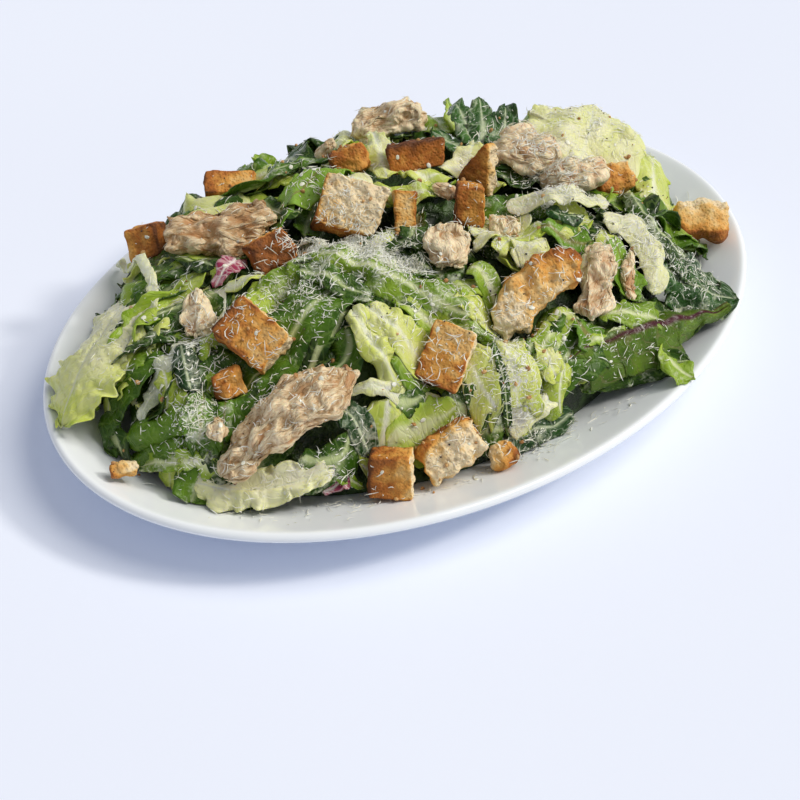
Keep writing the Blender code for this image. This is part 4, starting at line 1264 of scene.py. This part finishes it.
def fibres(surface, points, axis, rng, count, length, width, flatness, lift):
    """Fibres or flat flakes of meat that follow the surface along its axis and taper to both ends."""
    parts = []
    quads = ring_faces(FIBRE_STEPS, FIBRE_SIDES)
    turn = 2 * pi * np.arange(FIBRE_SIDES) / FIBRE_SIDES
    t = np.linspace(-1, 1, FIBRE_STEPS)
    for start in rng.integers(0, len(points), count):
        reach = rng.uniform(*length)
        heading = unit(axis * rng.choice([-1, 1]) + 0.22 * rng.normal(size=3))
        spot = np.array(points[start])
        line = []
        ups = []
        for _ in range(FIBRE_STEPS):
            found, normal, _, _ = surface.find_nearest(Vector(spot))
            normal = np.array(normal)
            line.append(np.array(found))
            ups.append(normal)
            heading = unit(heading - normal * (heading @ normal) + 0.05 * rng.normal(size=3))
            spot = line[-1] + heading * reach / (FIBRE_STEPS - 1)
        line = np.array(line)
        ups = np.array(ups)
        if ups[:, 2].max() < -0.1:
            continue
        along = unit(np.gradient(line, axis=0))
        across = unit(np.cross(ups, along))
        half = rng.uniform(*width) / 2
        taper = np.sqrt(np.clip(1 - np.abs(t) ** 2.4, 0.03, 1))
        taper = taper * (1 + 0.2 * np.sin(5 * t + rng.uniform(0, 6)))
        raised = rng.uniform(0, lift) + rng.uniform(-0.2, 0.9) * np.maximum(0, np.abs(t) - 0.5)
        line = line + ups * (raised - 0.15)[:, None]
        ring = across[:, None] * np.cos(turn)[None, :, None]
        ring = ring + ups[:, None] * (np.sin(turn) * flatness)[None, :, None]
        tube = line[:, None] + ring * (half * taper)[:, None, None]
        tube = tube.reshape(-1, 3)
        looks = {"streak": np.full(len(tube), rng.normal(0.5, 0.33)),
                 "brown": np.full(len(tube), rng.normal(0, 0.16)),
                 "fibre": np.stack([np.repeat(t * reach / 2, FIBRE_SIDES),
                                    np.tile(np.cos(turn) * half, FIBRE_STEPS),
                                    np.full(len(tube), rng.uniform(0, 60))], 1)}
        parts.append((tube, quads, looks))
    return parts


def chicken(name, brown, pale, flakes, plump=0.0):
    """One pulled piece with its flakes and fibres. brown: how roasted it is. pale: how whitish.

    plump: how far its loose outer fibres stand off the solid piece, in millimetres.
    """
    rng = np.random.default_rng(MEAT_SEED + len(name) + int(100 * pale))
    points, faces, normals = remeshed(name, MEAT_CELL)
    middle = points.mean(0)
    axis = np.linalg.svd(points - middle, full_matrices=False)[2][0]
    along = (points - middle) @ axis
    size = np.ptp(points, axis=0).max()
    wander = np.stack([waves(points, 14, rng) for _ in range(3)], 1)
    cross = points - middle - np.outer(along, axis)
    fibre = cross + 2.2 * wander + np.outer(0.26 * along, axis)
    bundle = np.abs(waves(fibre, 9.0, rng, 5))
    strand = np.abs(waves(fibre, 3.6, rng, 7))
    torn = waves(points, 5.5, rng, 9)
    lumps = waves(points, 13, rng, 9)
    deep = min(1.0, 0.35 + size / 45)
    relief = deep * (LUMP_DEPTH * lumps + bundle + TEAR_DEPTH * torn - 1.3)
    relief = relief + STRAND_DEPTH * np.minimum(strand, 1.0) - 0.3 + plump
    points = points + normals * relief[:, None]
    # Painted shade: the streaks go darker and browner along the grooves between bundles and strands.
    crease_shade = 0.5 * np.exp(-((strand / CREASE_SHADE_WIDTH) ** 2))
    crease_shade = crease_shade + 0.7 * np.exp(-((bundle / CREASE_SHADE_WIDTH) ** 2))
    looks = {"streak": pale + 0.16 * torn + 0.12 * waves(fibre, 2.4, rng) + 0.16 * lumps - 0.40 * crease_shade,
             "brown": brown + 0.30 * waves(points, 9, rng) * (0.4 + brown) + 0.40 * crease_shade,
             "fibre": np.stack([along, cross[:, 0] + wander[:, 0], cross[:, 1] + wander[:, 1]], 1)}
    surface = BVHTree.FromPolygons(points.tolist(), faces.tolist())
    length = np.ptp(along)
    near = nearness(points)
    loose = fibres(surface, points, axis, rng, flakes, (0.15 * length + 2, 0.32 * length + 3), (1.4, 3.8),
                   0.5, 0.5)
    loose += fibres(surface, points, axis, rng, 2 * flakes, (0.06 * length + 2, 0.16 * length + 3),
                    (0.5, 1.1), 0.7, 0.7)
    for strand, _, values in loose:
        index = near.find(strand[len(strand) // 2])[1]
        values["streak"] = 0.25 * values["streak"] + looks["streak"][index] + 0.05
        values["brown"] = values["brown"] * 0.5 + looks["brown"][index]
    return [(points, faces, looks)] + loose


# Each piece: how roasted, how pale, how many flakes, and how plump. The two pieces at the right are painted
# far paler than the rest, as light on them.
CHICKEN = {
    "chicken_front": (0.16, 0.56, 28),
    "chicken_scrap_front": (0.10, 0.6, 3),
    "chicken_coated": (0.05, 1.0, 14),
    "chicken_back_left": (0.20, 0.38, 14),
    "chicken_tip": (0.10, 0.6, 3),
    "chicken_back": (0.08, 0.72, 8),
    "chicken_strip_mid": (0.25, 0.6, 3),
    "chicken_centre": (0.12, 0.80, 6),
    "chicken_shreds_mid": (0.15, 0.85, 6),
    "chicken_right_inner": (0.24, 1.15, 22, 1.8),
    "chicken_right_outer": (0.24, 1.14, 22, 1.8),
    "chicken_strip_front": (0.24, 0.85, 8),
    "chicken_strand_front": (0.12, 0.7, 4),
}

meat, tree, shader = finish("pulled_chicken")
stretch = node(tree, "Mapping")
stretch.inputs["Scale"].default_value = (0.22, 1.0, 1.0)
tree.links.new(value_at(tree, "fibre", "Vector"), stretch.inputs["Vector"])
threads = noise(tree, stretch.outputs["Vector"], 2.0, 4)
blotch = grain(tree, 0.004, 3.0, 0.6)
pale_share = nudged(tree, value_at(tree, "streak"), threads, 1.5)
flesh = mix_colours(tree, span(tree, pale_share, 0.0, 1.1), (0.47, 0.275, 0.115), (0.95, 0.79, 0.52))
# Roast brown over the flesh, which also carries the painted shade of the grooves.
brown_share = nudged(tree, value_at(tree, "brown"), blotch, 0.9)
flesh = mix_colours(tree, span(tree, brown_share, 0.20, 0.85, 0.0, 0.8), flesh, (0.50, 0.22, 0.07))
tree.links.new(flesh, shader.inputs["Base Color"])
tree.links.new(span(tree, blotch, 0.3, 0.7, 0.38, 0.6), shader.inputs["Roughness"])
bump(tree, shader, threads, 0.0008, 1.0)
let_light_in(shader, 0.15, (1.0, 0.5, 0.25), 0.0015)

meat_parts = [part for name, looks in CHICKEN.items() for part in chicken(name, *looks)]
pulled = join_parts("pulled_chicken_pieces", meat_parts, meat)
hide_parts(*CHICKEN)

# ---------------------------------------------------------------- grated cheese
# Hard cheese grated fine: short thin curved shreds, ivory white, dusted over everything and lying
# thickest along the middle of the heap, with a few on the platter.

FALL_SLANT = 0.35
FALL_FROM = 45
FALL_HALF = (156, 110)
BARE_RIM = (150, 105)
SHRED_STEPS = 4


def landing_tree():
    """Search tree over everything that the shreds can land on, in millimetres."""
    dish = np.empty(len(platter.data.vertices) * 3, np.float32)
    platter.data.vertices.foreach_get("co", dish)
    quads = ring_faces(len(PLATTER_PROFILE), PLATTER_SEGMENTS)[:, ::-1]
    well = np.arange(PLATTER_SEGMENTS)[None, ::-1]
    shapes = landing_shapes + [(dish.reshape(-1, 3) / MM, [quads, well])]
    polygons = []
    start = 0
    for points, faces in shapes:
        polygons.extend(row for part in faces for row in (part + start).tolist())
        start += len(points)
    return BVHTree.FromPolygons(np.concatenate([points for points, _ in shapes]).tolist(), polygons)


landing = landing_tree()


def drop(x, y):
    """Where something that falls on the heap at x, y comes to rest, and which way that place faces."""
    z = float(sample(dome_grid, x, y))
    way = outward(np.array(x), np.array(y), np.array(z)) * FALL_SLANT + np.array([0, 0, 1.0])
    way = way / np.linalg.norm(way)
    above = Vector(np.array([x, y, z]) + way * FALL_FROM)
    place, normal, _, _ = landing.ray_cast(above, Vector(-way))
    if place is None:
        return None, None
    return np.array(place), np.array(normal)


def closed_tube(steps, sides):
    """Quads round a tube of rings of points, and the faces that close its ends."""
    order = np.arange(steps * sides).reshape(steps, sides)
    return ring_faces(steps, sides), np.array([order[0, ::-1], order[-1]])


def gathered(shapes):
    """Many small closed tubes as the points, in metres, and the faces of one mesh."""
    points, quads = joined([(corners, sides) for corners, sides, _ in shapes])
    ends = joined([(corners, caps) for corners, _, caps in shapes])[1]
    return points * MM, [np.concatenate(quads), np.concatenate(ends)]


def shred(rng, x, y, length, width):
    """A curved three-sided strip that lies on whatever is under it."""
    place, normal = drop(x, y)
    if place is None or normal[2] < 0.05:
        return None
    heading = rng.uniform(0, 2 * pi)
    way = np.array([cos(heading), sin(heading), 0])
    way = unit(way - normal * (way @ normal))
    across = np.cross(normal, way)
    t = np.linspace(-0.5, 0.5, SHRED_STEPS)
    bend = rng.normal() * 0.16 * length
    arc = rng.uniform(-0.12, 0.10) * length
    line = place + np.outer(t * length, way) + np.outer(bend * 4 * (t * t - 0.08), across)
    line = line + np.outer(width * 0.45 + arc * 4 * (t * t - 0.02) + rng.uniform(0, 0.9), normal)
    half = width / 2 * np.clip(1.15 - (2 * np.abs(t)) ** 3, 0.25, 1)
    twist = rng.uniform(-1.5, 1.5) * t + rng.uniform(0, 6)
    rings = []
    for corner in range(3):
        angle = twist + 2 * pi * corner / 3
        rings.append(line + (half * np.cos(angle))[:, None] * across
                     + (0.7 * half * np.sin(angle))[:, None] * normal)
    return np.stack(rings, 1).reshape(-1, 3), *closed_tube(SHRED_STEPS, 3)


def strewn(rng, spots, count_any, reach, thick=1.0):
    """Places for crumbs or shreds: some in rough round spots (x, y, size, count), the rest anywhere."""
    places = []
    for x, y, size, count in spots:
        places.extend(np.array([x, y]) + rng.normal(size=(round(count * thick), 2)) * size)
    angle = rng.uniform(0, 2 * pi, count_any)
    share = reach * np.sqrt(rng.uniform(0, 1, count_any))
    places.extend(np.stack([share * FALL_HALF[0] * np.cos(angle), share * FALL_HALF[1] * np.sin(angle)], 1))
    return [place for place in places if np.hypot(*(place / BARE_RIM)) < 1]


CHEESE_SPOTS = [
    (-31, 5, 9, 420), (-43, 9, 7, 260), (-29, -15, 8, 320), (-62, -10, 9, 150), (-61, -28, 7, 50),
    (-20, -26, 6, 145), (-20, -43, 8, 60), (-101, 1, 8, 145), (-88, -4, 7, 50), (-116, -20, 7, 100),
    (-123, -22, 6, 50), (-94, -29, 7, 50), (-88, -51, 8, 60), (68, -14, 7, 290), (51, -24, 6, 215),
    (65, 1, 6, 145), (59, -36, 6, 60), (63, 18, 6, 35), (-43, -47, 8, 50), (-35, -67, 8, 60),
    (-7, -63, 9, 145), (-12, -79, 8, 170), (23, -64, 8, 50), (72, -58, 8, 145), (92, -70, 8, 145),
    (55, -53, 6, 50), (-33, -78, 6, 30), (-80, -64, 8, 50), (-112, -45, 8, 50), (10, -81, 8, 60),
    (40, -82, 8, 50), (19, -27, 8, 145), (6, -5, 7, 50), (-16, 38, 7, 50), (-70, 3, 6, 50),
    (-96, 28, 7, 35), (-124, 23, 8, 30), (147, -17, 5, 7), (101, -87, 5, 5), (25, -93, 8, 16),
    (93, 10, 9, 110), (112, 0, 8, 50),
    (-6, -91, 7, 18), (-42, -80, 7, 20), (50, -97, 8, 14), (149, 24, 8, 25), (-106, -66, 6, 6),
]


DUST_SHARE = 6.5 / 30
CHEESE_SEED = 77
CHEESE_ANYWHERE = 1200
CHEESE_REACH = 0.86
CHEESE_AMOUNT = 1.55


def dust_leaves(piece):
    """The finest cheese, too small to be pieces: how thickly it lies on each point of the leaves."""
    places = np.empty(3 * len(piece.data.vertices))
    piece.data.vertices.foreach_get("co", places)
    places = places.reshape(-1, 3)[:, :2] / MM
    thick = np.zeros(len(places))
    for x, y, size, count in CHEESE_SPOTS:
        near = np.exp(-((places - [x, y]) ** 2).sum(1) / (2 * size**2))
        thick += DUST_SHARE * count / size**2 * near
    add_values(piece, "cheese_dust", np.clip(thick, 0, 1))


for piece in leaf_pieces:
    dust_leaves(piece)


def make_cheese():
    rng = np.random.default_rng(CHEESE_SEED)
    shreds = [shred(rng, x, y, 0.9 + 5.5 * rng.uniform() ** 2.2, rng.uniform(0.22, 0.50))
              for x, y in strewn(rng, CHEESE_SPOTS, CHEESE_ANYWHERE, CHEESE_REACH, CHEESE_AMOUNT)]
    return gathered([made for made in shreds if made])


cheese_finish, shader = mottled("grated_cheese", ((0.78, 0.76, 0.62), (0.86, 0.86, 0.78)), 0.006, 0.35,
                                (0.001, 0.45, 0.7), (0.0005, 0.0002, 0.4))
let_light_in(shader, 0.15, (1.0, 0.9, 0.6), 0.0008)
cheese = add_piece("grated_cheese", *make_cheese(), cheese_finish, smooth=False)

# ---------------------------------------------------------------- crumbs, pepper and drops of dressing
# Toasted crumbs shed by the croutons, coarse black pepper, and small drops of the creamy dressing
# that ran off the leaves.


LUMP_SIDES = 8
LUMP_RINGS = ((-0.35, 0.75), (0.15, 1.0), (0.62, 0.78), (0.92, 0.4))
CRUMB_SPOTS = [
    (-143, -6, 8, 6), (-96, -25, 8, 6), (-32, -63, 8, 6), (-65, -69, 8, 6), (-42, -77, 8, 6),
    (-24, -85, 8, 6), (7, -68, 8, 6), (136, -34, 8, 6), (-24, 7, 8, 6), (94, -24, 8, 6), (16, 22, 8, 6),
]


def lump(rng, centre, normal, size, flat):
    """A small uneven lump on a surface. flat: its height as a share of its width."""
    angle = 2 * pi * np.arange(LUMP_SIDES) / LUMP_SIDES
    across = unit(np.cross(normal, (0.31, 0.52, 0.8)))
    ahead = np.cross(normal, across)
    edge = 1 + 0.22 * np.sin(2 * angle + rng.uniform(0, 6)) + rng.uniform(-0.12, 0.12, LUMP_SIDES)
    rows = []
    for level, spread in LUMP_RINGS:
        ring = (np.cos(angle)[:, None] * across + np.sin(angle)[:, None] * ahead) * (edge * spread)[:, None]
        rows.append(centre + size / 2 * (ring + normal * level * flat * 2))
    return np.concatenate(rows), *closed_tube(len(LUMP_RINGS), LUMP_SIDES)


def make_lumps(seed, spots, count_any, reach, size, flat, lift=0.0):
    rng = np.random.default_rng(seed)
    made = []
    for x, y in strewn(rng, spots, count_any, reach):
        place, normal = drop(x, y)
        if place is not None and normal[2] >= 0.1:
            made.append(lump(rng, place + normal * lift, normal, rng.uniform(*size), rng.uniform(*flat)))
    return gathered(made)


crumb_finish, _ = mottled("toasted_crumbs", ((0.62, 0.38, 0.15), (0.36, 0.15, 0.045)), 0.003, 0.3,
                          (0.0007, 0.6, 0.9), (0.0006, 0.0003, 0.8))
crumbs = add_piece("toasted_crumbs", *make_lumps(91, CRUMB_SPOTS, 90, 0.85, (0.6, 2.0), (0.5, 0.9), 0.1),
                   crumb_finish, smooth=False)

pepper_finish, _ = mottled("cracked_pepper", ((0.03, 0.022, 0.016), (0.10, 0.07, 0.045)), 0.001, 0.3,
                           (0.0006, 0.5, 0.8), (0.0004, 0.0002, 0.6))
pepper = add_piece("cracked_pepper", *make_lumps(92, [], 150, 0.84, (0.35, 0.9), (0.6, 1.0), 0.1),
                   pepper_finish, smooth=False)

dressing_finish, shader = mottled("creamy_dressing", ((0.76, 0.76, 0.62), (0.84, 0.84, 0.72)), 0.004, 0.35,
                                  (0.003, 0.18, 0.32), (0.002, 0.0002, 0.3))
let_light_in(shader, 0.2, (1.0, 0.9, 0.6), 0.0008)
drops = add_piece("drops_of_dressing", *make_lumps(93, [], 220, 0.85, (0.8, 2.4), (0.08, 0.16)),
                  dressing_finish)
